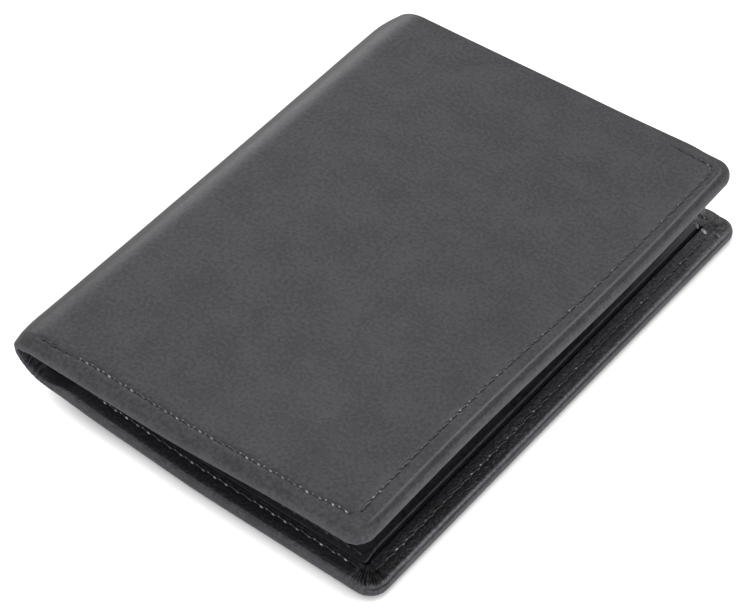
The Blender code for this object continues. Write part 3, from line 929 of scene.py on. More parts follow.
    def thickness(self, s: Array) -> Array:
        """Thickness of the edge, thin where it is only folded over, full where it wraps the linings.

        Args:
            s: distances along the outline.

        Returns:
            The thicknesses.
        """
        x, _ = self.outline.at(s, 0.0)
        near = smooth((x - self.turn_start) / (self.turn_end - self.turn_start))
        late = self.outline.corner(s, True)
        span = end_of(self.half) - self.band - x
        far = 1 - smooth(span / self.band)
        full = np.where(late > 0, np.maximum(far, 1 - smooth(late)), near)
        return LAYERS.folded + (LAYERS.edge - LAYERS.folded) * full

    def edge_value(self, s: Array, name: str) -> Array:
        """Value of an edge's measure along the outline, turning smoothly at the corners.

        Args:
            s: distances along the outline.
            name: the measure's field in Edge.

        Returns:
            The values.
        """
        near, opening, far = (getattr(edge, name) for edge in (self.near, self.opening, self.far))
        value = near + (opening - near) * smooth(self.outline.corner(s, False))
        return value + (far - opening) * smooth(self.outline.corner(s, True))

    def stitched(self, s: Array) -> Array:
        """1 where the seam runs, 0 past its ends.

        Args:
            s: distances along the outline.

        Returns:
            The shares.
        """
        count = self.phase(s)
        first, last = self.seam_span()
        return smooth(count - first + 1) * smooth(last + 1 - count)

    def seam_span(self) -> tuple[float, float]:
        """First and last stitch of the seam, in stitches from the middle of the spine.

        Returns:
            The numbers of the two stitches.
        """
        first = float(self.phase(np.array(self.seam_start - FOLD.middle)))
        last = float(self.phase(np.array(self.outline.total - self.outline.reach + self.seam_stop)))
        return math.ceil(first), math.floor(last)

    def dip(self, s: Array, d: Array) -> Array:
        """Depth to which the seam pulls the leather in, on either face.

        Args:
            s: distances along the outline.
            d: distances in from the edge.

        Returns:
            The depths.
        """
        across = bell((d - self.inset(s)) / self.channel_width)
        tight = bell((d - self.inset(s)) / (self.dimple_share * self.channel_width))
        hole = np.cos(math.pi * self.phase(s)) ** 6
        return self.stitched(s) * (self.channel * across + self.dimple * hole * tight)

    def bead(self, d: Array | float) -> Array:
        """Height of the bead and its groove, at a distance inwards from the edge's round."""
        groove = bell((d - self.groove_place) / self.groove_width)
        return bell((d - self.crest_place) / self.crest_width) - self.groove_depth * groove

    def softness(self, x: Array, y: Array) -> Array:
        """Slow unevenness of the outer face."""
        lengthways, crossways, slanting = self.swells
        return self.swell * (lengthways.at(x, y) + crossways.at(y, x) + 0.5 * slanting.at(x + y, x - y))

    def pleating(self, s: Array, d: Array) -> Array:
        """Gathered folds of the hem round the corners, on the inner face.

        Args:
            s: distances along the outline.
            d: distances in from the edge.

        Returns:
            The depths.
        """
        total = np.zeros(np.broadcast(s, d).shape)
        for far in (False, True):
            share = self.outline.corner(s, far)
            turn = share + 0.03 * self.pleat_lean.at(share, d) + 0.015 * self.pleat_wander.at(d, share)
            uneven = 1 - self.pleat_uneven + self.pleat_uneven * np.sin(23 * share + d / (1.4 * MM))
            folds = uneven * np.power(np.abs(np.sin(math.pi * self.pleats * turn)), 0.6)
            inside = smooth(d / self.pleat_rise) * (1 - smooth((d - self.pleat_end) / self.pleat_fade))
            strength = self.far_pleat if far else 1.0
            total = total + strength * folds * inside * np.sin(math.pi * share) ** 0.5
        return self.pleat * total

    def creasing(self, s: Array, d: Array) -> Array:
        """Crosswise creases of the folded edge inside the spine's ends.

        Args:
            s: distances along the outline.
            d: distances in from the edge.

        Returns:
            The depths.
        """
        x, _ = self.outline.at(s, d)
        bend = 1 - smooth((x - FOLD.middle - self.spine_crease_end) / self.spine_crease_fade)
        inwards, lengthways = self.crease_leans
        lean = 0.9 * inwards.at(d, x) + 0.7 * lengthways.at(x, d)
        wave = np.power(np.abs(np.sin(math.pi * x / self.spine_crease_pitch + lean)), self.crease_power)
        inside = smooth(d / (0.4 * MM)) * (1 - smooth((d - self.spine_crease_reach) / (1.5 * MM)))
        return self.spine_crease * bend * wave * inside

    def seam_shade(self, s: Array, d: Array) -> Array:
        """Tone of the leather's face: painted shade in the seam's channel, and more painted shade at its
        holes.

        Args:
            s: distances along the outline.
            d: distances in from the edge.

        Returns:
            The tones.
        """
        across = bell((d - self.inset(s)) / (0.5 * self.channel_width))
        hole = np.cos(math.pi * self.phase(s)) ** 4
        # Painted shade in the channel and at the holes.
        return 1 - self.stitched(s) * across * (self.channel_shade + self.hole_shade * hole)

    def hem_shading(self, s: Array, d: Array, inner: Array) -> Array:
        """Tone of the hem's face: painted highlight and painted shade on the near corner's pleats, and
        painted shade along the near side.

        Args:
            s: distances along the outline.
            d: distances in from the edge.
            inner: reach of the edge's round on this face.

        Returns:
            The tones.
        """
        o = self.outline
        folds = self.pleating(s, d) / self.pleat
        gathered = np.sin(math.pi * o.corner(s, False)) * smooth(d / inner)
        late = smooth((s - o.reach - o.arc - self.near_shade_end) / self.near_shade_fade)
        # Painted shade along the hem's near side, fading out up the opening side.
        deep = self.near_shade * (1 - late) * smooth((d - inner) / MM)
        # Painted highlight over the near corner's pleats, with painted shade in their folds.
        return self.seam_shade(s, d) * (1 - deep) + gathered * (self.pleat_highlight - self.pleat_shade * folds)

    def profile(self, s: Array) -> tuple[Array, Array, Array]:
        """Section across the edge at each place along the outline.

        Args:
            s: distances along the outline.

        Returns:
            Three arrays of rows and places: the distance in from the edge, the depth and the tone.
        """
        rows: list[tuple[Array, Array, Array]] = []
        one = np.ones_like(s)
        outer, inner = self.edge_value(s, "outer"), self.edge_value(s, "inner")
        thick = self.thickness(s)
        hem = self.edge_value(s, "hem")
        slim = smooth((thick - LAYERS.folded) / (LAYERS.edge - LAYERS.folded))
        outer = self.folded_outer + (outer - self.folded_outer) * slim
        outer = outer + self.corner_softness * np.sin(math.pi * self.outline.corner(s, False)) ** 2
        inner = self.folded_inner + (inner - self.folded_inner) * slim
        crown = self.edge_value(s, "crown") * thick
        reliefs = ("crest", "fall", "rim", "slit")
        crest, fall, rim, slit = (self.edge_value(s, name) * slim for name in reliefs)
        slit = slit * (1 - self.slit_uneven + self.slit_uneven * self.slit_wave.at(s, s))
        crest = crest * smooth(2 * self.outline.corner(s, False) - 1)
        step = (self.crest_place + self.groove_place) / 2
        wide_rows, edge_rows = (1, 0.3, 12), (0.27, 0, 13)
        for share in np.concatenate([np.linspace(*part) for part in (wide_rows, edge_rows)]):
            d = outer + (self.band - outer) * share
            sink = fall * np.clip(1 - (d - outer) / (self.fall_reach - outer), 0, 1) ** 1.5
            raised = crest / self.crest_full
            # Painted shade between the bead and its groove, and painted highlight on the ridge.
            dark = self.step_shade * bell((d - outer - step) / (0.7 * self.crest_width))
            painted_highlight = self.ridge_highlight * bell((d - outer - self.crest_place - 0.4 * MM) / self.crest_width)
            tone = self.seam_shade(s, d) + raised * (painted_highlight - dark)
            rows.append((d, self.dip(s, d) + sink - crest * self.bead(d - outer), tone))
        early_turns, slit_turns, late_turns = (0.1, 1.8, 18), (1.84, 2.4, 17), (2.5, 3.04, 6)
        for turn in np.concatenate([np.linspace(*part) for part in (early_turns, slit_turns, late_turns)]):
            early = turn < math.pi / 2
            reach = crown - fall + crest * self.bead(0.0) if early else thick + rim - crown
            w = crown - reach * math.cos(turn)
            d = (outer if early else inner) * (1 - math.sin(turn))
            line = slit * bell((thick - w - self.slit_place) / self.slit_width)
            late = smooth((turn / math.pi - self.gather_start) / (1 - self.gather_start))
            # Painted highlight on the lower nose, painted shade in the slit and painted highlight on the rim
            # bead.
            tone = 1 + self.nose_highlight * crest / self.crest_full * smooth(2 * turn / math.pi - 0.5)
            tone = tone - self.slit_shade * line / MM
            tone = tone + rim * self.rim_highlight / MM * smooth(3 * turn / math.pi - 2)
            gather = self.pleating(s, inner * one) + self.creasing(s, inner * one)
            rows.append((d + line, w - late * gather, tone))
        for share in np.linspace(0, 1, self.hem_rows):
            d = inner + (hem - self.hem_round - inner) * share
            lower = self.dip(s, d) + self.pleating(s, d) + self.creasing(s, d)
            edge = smooth(1 - (d - inner) / self.rim_reach)
            # The hem's painted shade and highlight, with painted highlight on the rim bead.
            tone = self.hem_shading(s, d, inner) + rim * self.rim_highlight / MM * edge
            rows.append((d, thick - lower + rim * edge, tone))
        under = thick - LAYERS.leather
        floor = LAYERS.leather * one
        under = np.maximum(under, floor) + self.gap
        rows.append((hem, thick - self.hem_edge, one))
        rows.append((hem, under + self.hem_round, one))
        rows.append((hem - self.hem_round, under, one))
        rows.append((0.5 * hem + 0.5 * inner, under, one))
        rows.append((self.hem_lap * one, under, one))
        rows.append((LAYERS.leather * one, (under + floor) / 2, one))
        for reach in (self.hem_lap, self.hem_flat, self.band):
            rows.append((reach * one, floor - self.gap, one))
        return tuple(np.stack([row[i] for row in rows]) for i in range(3))

    def surface(self, s: Array, d: Array, w: Array) -> tuple[Array, Array]:
        """Places in the frame, and the flat places that the grain follows.

        Args:
            s: distances along the outline.
            d: distances in from the edge.
            w: depths below the outer face.

        Returns:
            Two arrays of rows, columns and coordinates.
        """
        x, y = self.outline.at(s, d)
        points = FOLD.place(self.half, x, y, w + self.softness(x, y) * smooth(1 - w / LAYERS.leather))
        return points, np.stack([x, y, np.broadcast_to(w, x.shape)], axis=-1)

    def sample_lines(self) -> tuple[Array, Array]:
        """Flat x and y of the lines on which the leather is sampled.

        Returns:
            Two arrays, from the spine out and from near to far.
        """
        first = FOLD.middle + np.array([0.0, 0.12, 0.4]) * MM
        step = self.pitch / 4
        bend = steps(FOLD.middle + 0.9 * MM, FOLD.spine_depth + 4 * MM, 0.7 * MM)
        rest = steps(bend[-1], end_of(self.half) - self.band, step)[1:]
        xs = np.concatenate([first, bend, rest])
        ys = steps(self.band, FOLD.height - self.band, step)
        return xs, ys

    def build(self, material: bpy.types.Material) -> bpy.types.Object:
        """Makes the leather of this half and bends it with the spine.

        Args:
            material: its finish.

        Returns:
            The new object.
        """
        xs, ys = self.sample_lines()
        o = self.outline
        turn = np.linspace(0, 1, self.arc_samples + 1)[1:-1]
        corner = o.reach + turn * o.arc
        second = o.reach + o.arc + o.side + turn * o.arc
        near = xs - o.start
        side = o.reach + o.arc + (ys - ys[0])
        far = o.total - near[::-1]
        s = np.concatenate([near, corner, side, second, far])
        d, w, tone = self.profile(s)
        mesh = Mesh()
        mesh.grid(*self.surface(np.broadcast_to(s, d.shape), d, w), tone=tone)
        gx, gy = np.meshgrid(xs, ys)
        gx, gy = o.warped(gx, gy)
        for depth in (0.0, LAYERS.leather - self.gap):
            relief = self.softness(gx, gy) * smooth(1 - depth / LAYERS.leather)
            points = FOLD.place(self.half, gx, gy, depth + relief)
            mesh.grid(points, np.stack([gx, gy, np.full_like(gx, depth)], axis=-1))
        name = f"{self.half.value}_turned_leather"
        return mesh.make(name, material)


def bend_with_spine(piece: bpy.types.Object, half: Half) -> None:
    """Bakes a piece's transform into its mesh, the same way for either half.

    Args:
        piece: the object.
        half: the half that it lies on.
    """
    mid = FOLD.height / 2
    start = FOLD.place(half, FOLD.spine_depth, mid, 0.0)
    end = FOLD.place(half, FOLD.middle, mid, 0.0)
    if half is Half.BACK:
        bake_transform(piece)
    else:
        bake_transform(piece)


def even(level: float) -> Callable:
    """A face at one depth everywhere."""
    return lambda x, y: np.full_like(x, level)


@dataclass
class Stitches:
    """A row of separate stitches that dive into the leather at both ends."""

    half: Half
    thread: float = 0.175 * MM
    proud: float = 0.08 * MM
    sunk: float = 0.30 * MM
    slant: float = 0.17 * MM
    cover: float = 0.84
    hole_radius: float = 0.28 * MM
    hole_rims: tuple[float, ...] = (0.05, 0.8, 1.0, 0.05)
    hole_depths: tuple[float, ...] = (-0.05 * MM, -0.04 * MM, 0.02 * MM, 0.3 * MM)
    arch_power: float = 0.42
    end_size: float = 0.72
    lobe: float = 0.16
    twist: float = 2.6
    probe: float = 0.1 * MM
    grain_step: float = 0.01
    sides: int = 8
    rings: int = 11

    def pit(self, mesh: Mesh, place: tuple[float, float], level: Callable, face: Face) -> None:
        """Adds the mouth of one needle hole, whose near-black finish is painted shade.

        Args:
            mesh: the mesh that takes it.
            place: flat place of its middle.
            level: depth of the leather's face at flat places x and y.
            face: the face that it lies on.
        """
        angle = np.linspace(0, math.tau, self.sides, endpoint=False)[None, :]
        radius = np.array(self.hole_rims)[:, None] * self.hole_radius
        sunk = np.array(self.hole_depths)[:, None]
        x, y = place[0] + radius * np.cos(angle), place[1] + radius * np.sin(angle)
        w = level(x, y) - face.value * sunk * np.ones_like(x)
        mesh.grid(FOLD.place(self.half, x, y, w), np.stack([x, y, w], axis=-1), closed=True)

    def add(
        self, mesh: Mesh, start: tuple[float, float], end: tuple[float, float], level: Callable, face: Face,
        size: float = 1.0, glint_reach: float = 1.0,
    ) -> None:
        """Adds one stitch.

        Args:
            mesh: the mesh that takes it.
            start: flat place of its first hole.
            end: flat place of its second hole.
            level: depth of the leather's face at flat places x and y.
            face: the face that it lies on.
            size: its thickness, as a share of the thread.
            glint_reach: how far the painted highlights at its ends reach, 0 for none and large for the whole
                stitch.
        """
        a, b = np.array(start), np.array(end)
        along = (b - a) / max(np.linalg.norm(b - a), MERGE)
        across = np.array([-along[1], along[0]])
        mid = (a + b) / 2
        reach = (b - a) * self.cover / 2
        t = np.linspace(-1, 1, self.rings)
        flat = mid + np.outer(t, reach) + np.outer(-t * self.slant, across)
        arch = np.power(np.clip(1 - t * t, 0, 1), self.arch_power)
        rise = face.value * (self.proud * size * arch - self.sunk * (1 - arch))
        w = level(flat[:, 0], flat[:, 1]) + rise
        centre = FOLD.place(self.half, flat[:, 0], flat[:, 1], w)
        tangent = np.gradient(centre, axis=0)
        tangent /= np.linalg.norm(tangent, axis=1, keepdims=True)
        up = FOLD.place(self.half, flat[:, 0], flat[:, 1], w + self.probe) - centre
        side = np.cross(tangent, up)
        side /= np.linalg.norm(side, axis=1, keepdims=True)
        up = np.cross(side, tangent)
        angle = np.linspace(0, math.tau, self.sides, endpoint=False)
        lobes = 1 + self.lobe * np.cos(2 * (angle[None, :] - 2 * self.twist * t[:, None]))
        radius = self.thread * size * (self.end_size + (1 - self.end_size) * arch)[:, None] * lobes
        ring = (
            centre[:, None, :]
            + (radius * np.cos(angle))[:, :, None] * side[:, None, :]
            + (radius * np.sin(angle))[:, :, None] * up[:, None, :]
        )
        grain = np.zeros_like(ring)
        # Painted highlight: grain x carries how far the thread's lighter glint colour reaches.
        grain[:, :, 0] = (glint_reach * t * np.linalg.norm(reach))[:, None]
        grain[:, :, 1] = angle[None, :] * self.thread
        grain[:, :, 2] = len(mesh.points) * self.grain_step
        first = mesh.count
        mesh.grid(ring, grain, closed=True)
        mesh.fan(range(first, first + self.sides))
        last = first + (self.rings - 1) * self.sides
        mesh.fan(range(last + self.sides - 1, last - 1, -1))

    def row(
        self, mesh: Mesh, points: Sequence[tuple[float, float]], level: Callable, face: Face, pitch: float,
    ) -> None:
        """Adds a row of stitches along a flat line, given by its corners.

        Args:
            mesh: the mesh that takes it.
            points: flat places of the line's corners.
            level: depth of the leather's face at flat places x and y.
            face: the face that the row lies on.
            pitch: wanted length of a stitch.
        """
        line = np.array(points)
        lengths = np.concatenate([[0], np.cumsum(np.linalg.norm(np.diff(line, axis=0), axis=1))])
        count = max(1, int(round(lengths[-1] / pitch)))
        places = np.linspace(0, lengths[-1], count + 1)
        holes = np.stack([np.interp(places, lengths, line[:, i]) for i in (0, 1)], axis=1)
        for a, b in zip(holes, holes[1:]):
            self.add(mesh, tuple(a), tuple(b), level, face)


@dataclass
class EdgeSeam:
    """The seam round a turned half, on both of its faces."""

    turned: TurnedHalf
    stitches: Stitches
    bars: tuple[tuple[float, float], ...] = ((6.6 * MM, 6.9 * MM), (4.3 * MM, 7.5 * MM), (1.3 * MM, 6.8 * MM))
    bar_stitch: float = 1.5 * MM
    bar_size: float = 2.1
    # The fields below, up to the far hem's, place and size the stitches' painted highlights; dull stitches
    # have none.
    bar_glint: float = 30.0
    dull_stitches: int = 3
    dull_size: float = 0.7
    dull_corner: float = 7.0 * MM
    early_glint: float = 0.25
    late_dull: float = 0.4
    late_uneven: float = 0.4
    late_turn: float = 2.4
    late_start: float = 35.0 * MM
    glint_run: float = 25.0 * MM
    far_gather: float = 1.5
    far_hem: float = 8.0 * MM
    far_step: float = 3.0 * MM

    def holes(self) -> list[tuple[float, float]]:
        """Flat places of the needle holes.

        Returns:
            The places, in order along the seam.
        """
        places, lengths = self.turned.seam
        first, last = self.turned.seam_span()
        s = np.interp(np.arange(first, last + 1) * self.turned.pitch, lengths, places)
        x, y = self.turned.outline.at(s, self.turned.inset(s))
        return list(zip(x.tolist(), y.tolist()))

    def gathered(self, a: tuple[float, float], b: tuple[float, float]) -> bool:
        """Whether a stitch sinks between the pleats of a corner.

        Args:
            a: flat place of its first hole.
            b: flat place of its second hole.

        Returns:
            True where it sinks.
        """
        band = self.turned.band
        x, y = (a[0] + b[0]) / 2, (a[1] + b[1]) / 2
        return x > end_of(self.turned.half) - band and not band < y < FOLD.height - self.far_gather * band

    def glint_reach(self, number: int, a: tuple[float, float], b: tuple[float, float]) -> float:
        """How far a stitch's painted highlights reach: none at the seam's start and corner, less towards the
        far end.

        Args:
            number: the stitch's number along the seam.
            a: flat place of its first hole.
            b: flat place of its second hole.

        Returns:
            The reach of its painted highlights, 0 for none.
        """
        x, y = (a[0] + b[0]) / 2, (a[1] + b[1]) / 2
        corner = x > end_of(self.turned.half) - self.dull_corner and y < self.dull_corner
        if number < self.dull_stitches or corner:
            return 0.0
        late = float(smooth((y - self.late_start) / self.glint_run))
        early = float(1 - smooth((y - self.dull_corner) / self.glint_run))
        uneven = 1 - self.late_uneven + self.late_uneven * math.sin(self.late_turn * number)
        return 1 + self.early_glint * early - self.late_dull * late * uneven

    def level(self, face: Face) -> Callable:
        """Depth of the leather's face under the seam.

        Args:
            face: the face that shows.

        Returns:
            A function that gives the depth at flat places x and y.
        """
        turned = self.turned

        def outer(x: Array, y: Array) -> Array:
            """Depth of the seam's channel on the outer face."""
            return np.full_like(x, turned.channel)

        def inner(x: Array, y: Array) -> Array:
            """Depth of the seam's channel on the inner face.

            Args:
                x: distances from the spine side.
                y: distances from the near edge.

            Returns:
                The depths.
            """
            near = turned.thickness(np.clip(x - turned.outline.start, 0, turned.outline.reach))
            beside = smooth((end_of(turned.half) - self.far_hem - x) / MM)
            span = smooth((y - FOLD.height + self.far_hem) / self.far_step) * beside
            return near + (LAYERS.folded - near) * span - turned.channel

        return outer if face is Face.OUTER else inner

    def build(self, face: Face, material: bpy.types.Material) -> bpy.types.Object:
        """Makes the stitches that show on one face.

        Args:
            face: the face that shows.
            material: its finish.

        Returns:
            The new object.
        """
        mesh = Mesh()
        holes = self.holes()
        level = self.level(face)
        shift = 0 if face is Face.OUTER else 1
        for number, (a, b) in enumerate(zip(holes[shift:], holes[shift + 1:])):
            if face is Face.OUTER or not self.gathered(a, b):
                glint_reach = self.glint_reach(number, a, b)
                self.stitches.add(mesh, a, b, level, face, 1.0 if glint_reach else self.dull_size, glint_reach)
        # The bar stitches carry painted highlight along almost their whole length.
        if face is Face.INNER:
            for short, down in self.bars:
                x, y = end_of(self.turned.half) - short, FOLD.height - down
                ends = (x - self.bar_stitch / 2, y), (x + self.bar_stitch / 2, y)
                self.stitches.add(mesh, *ends, level, face, self.bar_size, self.bar_glint)
        piece = mesh.make(f"{self.turned.half.value}_{face.name.lower()}_stitches", material)
        bend_with_spine(piece, self.turned.half)
        return piece

    def build_holes(self, face: Face, material: bpy.types.Material) -> bpy.types.Object:
        """Makes the needle holes that show on one face.

        Args:
            face: the face that shows.
            material: its finish.

        Returns:
            The new object.
        """
        mesh = Mesh()
        level = self.level(face)
        for place in self.holes()[0 if face is Face.OUTER else 1:]:
            if face is Face.OUTER or not self.gathered(place, place):
                self.stitches.pit(mesh, place, level, face)
        piece = mesh.make(f"{self.turned.half.value}_{face.name.lower()}_needle_holes", material)
        bend_with_spine(piece, self.turned.half)
        return piece


@dataclass
class Sheet:
    """A thin sheet with rounded corners and softly rounded edges, laid on one half."""

    name: str
    half: Half
    low: tuple[float, float]
    high: tuple[float, float]
    top: float
    thick: float
    radius: float = 2.0 * MM
    rim: float = 0.2 * MM
    step: float = 2.0 * MM
    corner_rows: int = 5
    rim_rows: int = 4
    flat_rows: int = 4
    sharp: float = 60.0
    warp: Callable | None = None
    shift: Callable | None = None
    relief: Callable | None = None

    def laid(self, x: Array, y: Array, w: Array, face: Array | float) -> tuple[Array, Array]:
        """Places in the frame and flat places of the grain.

        Args:
            x: distances from the spine side.
            y: distances from the near edge.
            w: depths below the outer face.
            face: 1 on the side that shows, 0 on the other.

        Returns:
            Two arrays of rows, columns and coordinates.
        """
        if self.warp is not None:
            x, y = self.warp(x, y)
        if self.relief is not None:
            w = w - self.relief(x, y) * face
        if self.shift is not None:
            w = w + self.shift(x, y)
        points = FOLD.place(self.half, x, y, w)
        return points, np.stack(np.broadcast_arrays(x, y, w), axis=-1)

    def build(self, material: bpy.types.Material) -> bpy.types.Object:
        """Makes the sheet.

        Args:
            material: its finish.

        Returns:
            The new object.
        """
        (x0, y0), (x1, y1) = self.low, self.high
        r, quarter = self.radius, math.pi / 2
        xs, ys = steps(x0 + r, x1 - r, self.step), steps(y0 + r, y1 - r, self.step)
        turn = np.linspace(0, quarter, self.corner_rows + 2)[1:-1]
        parts = []
        sides = ((xs, ys[:1]), (xs[-1:], ys), (xs[::-1], ys[-1:]), (xs[:1], ys[::-1]))
        for number, side in enumerate(sides):
            ahead = (number - 1) * quarter
            side_x, side_y = np.broadcast_arrays(*side)
            parts.append((side_x, side_y, np.full(len(side_x), ahead)))
            ends = np.full(len(turn), side_x[-1]), np.full(len(turn), side_y[-1])
            parts.append((*ends, turn + ahead))
        cx, cy, angle = (np.concatenate(column) for column in zip(*parts))
        rim = min(self.rim, self.thick / 2)
        section = [(r, 0.0, 0.0), ((r + rim) / 2, 0.0, 0.0)]
        for a in np.linspace(0, quarter, self.rim_rows):
            section.append((rim * (1 - math.sin(a)), rim * (1 - math.cos(a)), 0.0))
        for a in np.linspace(0, quarter, self.rim_rows):
            section.append((rim * (1 - math.cos(a)), self.thick - rim * (1 - math.sin(a)), math.sin(a)))
        for share in np.linspace(0, 1, self.flat_rows + 1)[1:]:
            section.append((rim + (r - rim) * share, self.thick, 1.0))
        d, depth, face = (np.array(column)[:, None] for column in zip(*section))
        w = self.top + depth
        x = cx[None, :] + (r - d) * np.cos(angle)[None, :]
        y = cy[None, :] + (r - d) * np.sin(angle)[None, :]
        mesh = Mesh()
        mesh.grid(*self.laid(x, y, np.broadcast_to(w, x.shape), face), closed=True)
        gx, gy = np.meshgrid(xs, ys)
        mesh.grid(*self.laid(gx, gy, np.full_like(gx, self.top), 0.0))
        mesh.grid(*self.laid(gx, gy, np.full_like(gx, self.top + self.thick), 1.0))
        return mesh.make(self.name, material, self.sharp)


def cut_round(piece: bpy.types.Object, centre: tuple[float, float], radius: float) -> None:
    """Cuts an upright round hole through a piece.

    Args:
        piece: the object.
        centre: flat place of the hole on the back half.
        radius: its radius.
    """
    sides, length, middle = 48, 40 * MM, 5 * MM
    bm = bmesh.new()
    bmesh.ops.create_cone(
        bm, cap_ends=True, segments=sides, radius1=radius, radius2=radius, depth=length
    )
    place = Matrix.Translation((centre[0] - FOLD.centre, centre[1] - FOLD.height / 2, middle))
    bmesh.ops.transform(bm, matrix=place, verts=bm.verts)
    mesh = bpy.data.meshes.new("hole")
    bm.to_mesh(mesh)
    bm.free()
    tool = bpy.data.objects.new("hole", mesh)
    bpy.context.scene.collection.objects.link(tool)
    cut = piece.modifiers.new("hole", "BOOLEAN")
    cut.operation = "DIFFERENCE"
    cut.solver = "EXACT"
    cut.object = tool
    bpy.context.view_layer.update()
    graph = bpy.context.evaluated_depsgraph_get()
    result = bpy.data.meshes.new_from_object(piece.evaluated_get(graph), depsgraph=graph)
    piece.modifiers.clear()
    piece.data = result
    bpy.data.objects.remove(tool, do_unlink=True)


@dataclass
class NoteCompartment:
    """Lining and divider of the note compartment, each laid round the spine in two stretches."""

    near: float = 4.9 * MM
    lining_far: float = 118.2 * MM
    divider_far: float = 122.0 * MM
    lining_short: float = 2.4 * MM
    divider_short: float = 6.1 * MM
    seam_gap: float = 0.02 * MM
    ripple: float = 0.05 * MM
    wave: Ripple = Ripple(4.2 * MM, 0.8, 9 * MM)
    loose_start: float = 30.0 * MM
    loose_run: float = 25.0 * MM

    def wavy(self, x: Array, y: Array) -> Array:
        """Slight waves of the free cloth towards its mouth."""
        loose = smooth((y - FOLD.height + self.loose_start) / self.loose_run)
        return self.ripple * loose * self.wave.at(x, y)

    def build(self, material: bpy.types.Material) -> None:
        """Makes the four stretches.

        Args:
            material: its finish.
        """
        for half in Half:
            for layer, top, short, far in (
                ("note_lining", LAYERS.lining_top, self.lining_short, self.lining_far),
                ("note_divider", LAYERS.divider_top, self.divider_short, self.divider_far),
            ):
                low = (FOLD.middle + self.seam_gap, self.near)
                high = (end_of(half) - short, far)
                sheet = Sheet(f"{half.value}_{layer}_cloth", half, low, high, top, LAYERS.lining,
                              radius=1.0 * MM, rim=0.1 * MM, step=1.6 * MM, shift=self.wavy)
                piece = sheet.build(material)
                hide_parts(f"{half.value}_{layer}", f"spine_{layer}")
                bend_with_spine(piece, half)


@dataclass
class InnerPanels:
    """The inner leather of both halves with its own seams."""

    start: float = 10.5 * MM
    near: float = 4.9 * MM
    far: float = 119.5 * MM
    short: float = 6.1 * MM
    inset: float = 1.2 * MM
    pitch: float = FINE_PITCH
    sunk: float = 0.08 * MM
    channel: float = 0.1 * MM
    channel_width: float = 0.5 * MM
    swell: float = 0.02 * MM
    swells: tuple[Ripple, Ripple] = (Ripple(6.3 * MM, 1.0, 11 * MM), Ripple(7.7 * MM))
    draw: float = 0.22 * MM
    draw_reach: float = 2.0 * MM
    corner_draw: float = 0.5 * MM
    corner_height: float = 5.0 * MM
    corner_reach: float = 3.0 * MM
    tuck: float = 0.28 * MM
    tuck_reach: float = 1.6 * MM

    def relief(self, half: Half) -> Callable:
        """Channel that the seam pulls into the panel, and a soft swell inside it.

        Args:
            half: the half that it lies on.

        Returns:
            A function that gives the depth at flat places x and y.
        """
        x0, x1 = self.start + self.inset, end_of(half) - self.short - self.inset
        y0, y1 = self.near + self.inset, self.far - self.inset

        lengthways, crossways = self.swells

        def depth(x: Array, y: Array) -> Array:
            """Depth of the channel and the swell at flat places x and y.

            Args:
                x: distances from the spine side.
                y: distances from the near edge.

            Returns:
                The depths.
            """
            beside = np.minimum(np.abs(x - x1), np.abs(x - x0))
            line = np.minimum(beside, np.minimum(np.abs(y - y0), np.abs(y - y1)))
            wave = lengthways.at(x, y) + crossways.at(y, x)
            return self.channel * bell(line / self.channel_width) + self.swell * wave

        return depth

    def closing(self, half: Half) -> Callable:
        """Draws the panel's near side and near corner up to the turned edge.

        Args:
            half: the half that it lies on.

        Returns:
            A function that draws flat places x and y.
        """
        end = end_of(half) - self.short

        def warp(x: Array, y: Array) -> tuple[Array, Array]:
            """Flat places x and y of the drawn panel.

            Args:
                x: distances from the spine side.
                y: distances from the near edge.

            Returns:
                Two arrays of flat places x and y.
            """
            low = 1 - smooth((y - self.near) / self.corner_height)
            right = smooth((x - end + self.corner_reach) / self.corner_reach)
            down = self.draw * (1 - smooth((y - self.near) / self.draw_reach))
            return x + self.corner_draw * low * right, y - down

        return warp

    def tucked(self, x: Array, y: Array) -> Array:
        """Sinks the panel's near side just below the turned edge beside it."""
        return -self.tuck * (1 - smooth((y - self.near) / self.tuck_reach))

    def build(self, half: Half, leather: bpy.types.Material, thread: bpy.types.Material) -> None:
        """Makes one half's panel and its seam.

        Args:
            half: the half that it lies on.
            leather: finish of the leather.
            thread: finish of the thread.
        """
        end = end_of(half) - self.short
        thick = LAYERS.panel if half is Half.BACK else LAYERS.leather
        sheet = Sheet(f"{half.value}_panel_leather", half, (self.start, self.near), (end, self.far),
                      LAYERS.hem_top, thick, radius=1.0 * MM, rim=0.3 * MM, step=1.5 * MM,
                      warp=self.closing(half), shift=self.tucked, relief=self.relief(half))
        panel = sheet.build(leather)
        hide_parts(f"{half.value}_inner_panel")
        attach(panel, f"{half.value}_half")
        level = LAYERS.hem_top + thick - self.sunk
        mesh = Mesh()
        stitches = Stitches(half, thread=FINE_THREAD)
        near, far = self.near + self.inset, self.far - self.inset
        left, right = self.start + self.inset, end - self.inset
        line = [(left, far), (left, near), (right, near)]
        stitches.row(mesh, line, even(level), Face.INNER, self.pitch)
        row = mesh.make(f"{half.value}_panel_stitches", thread)
        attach(row, f"{half.value}_half")


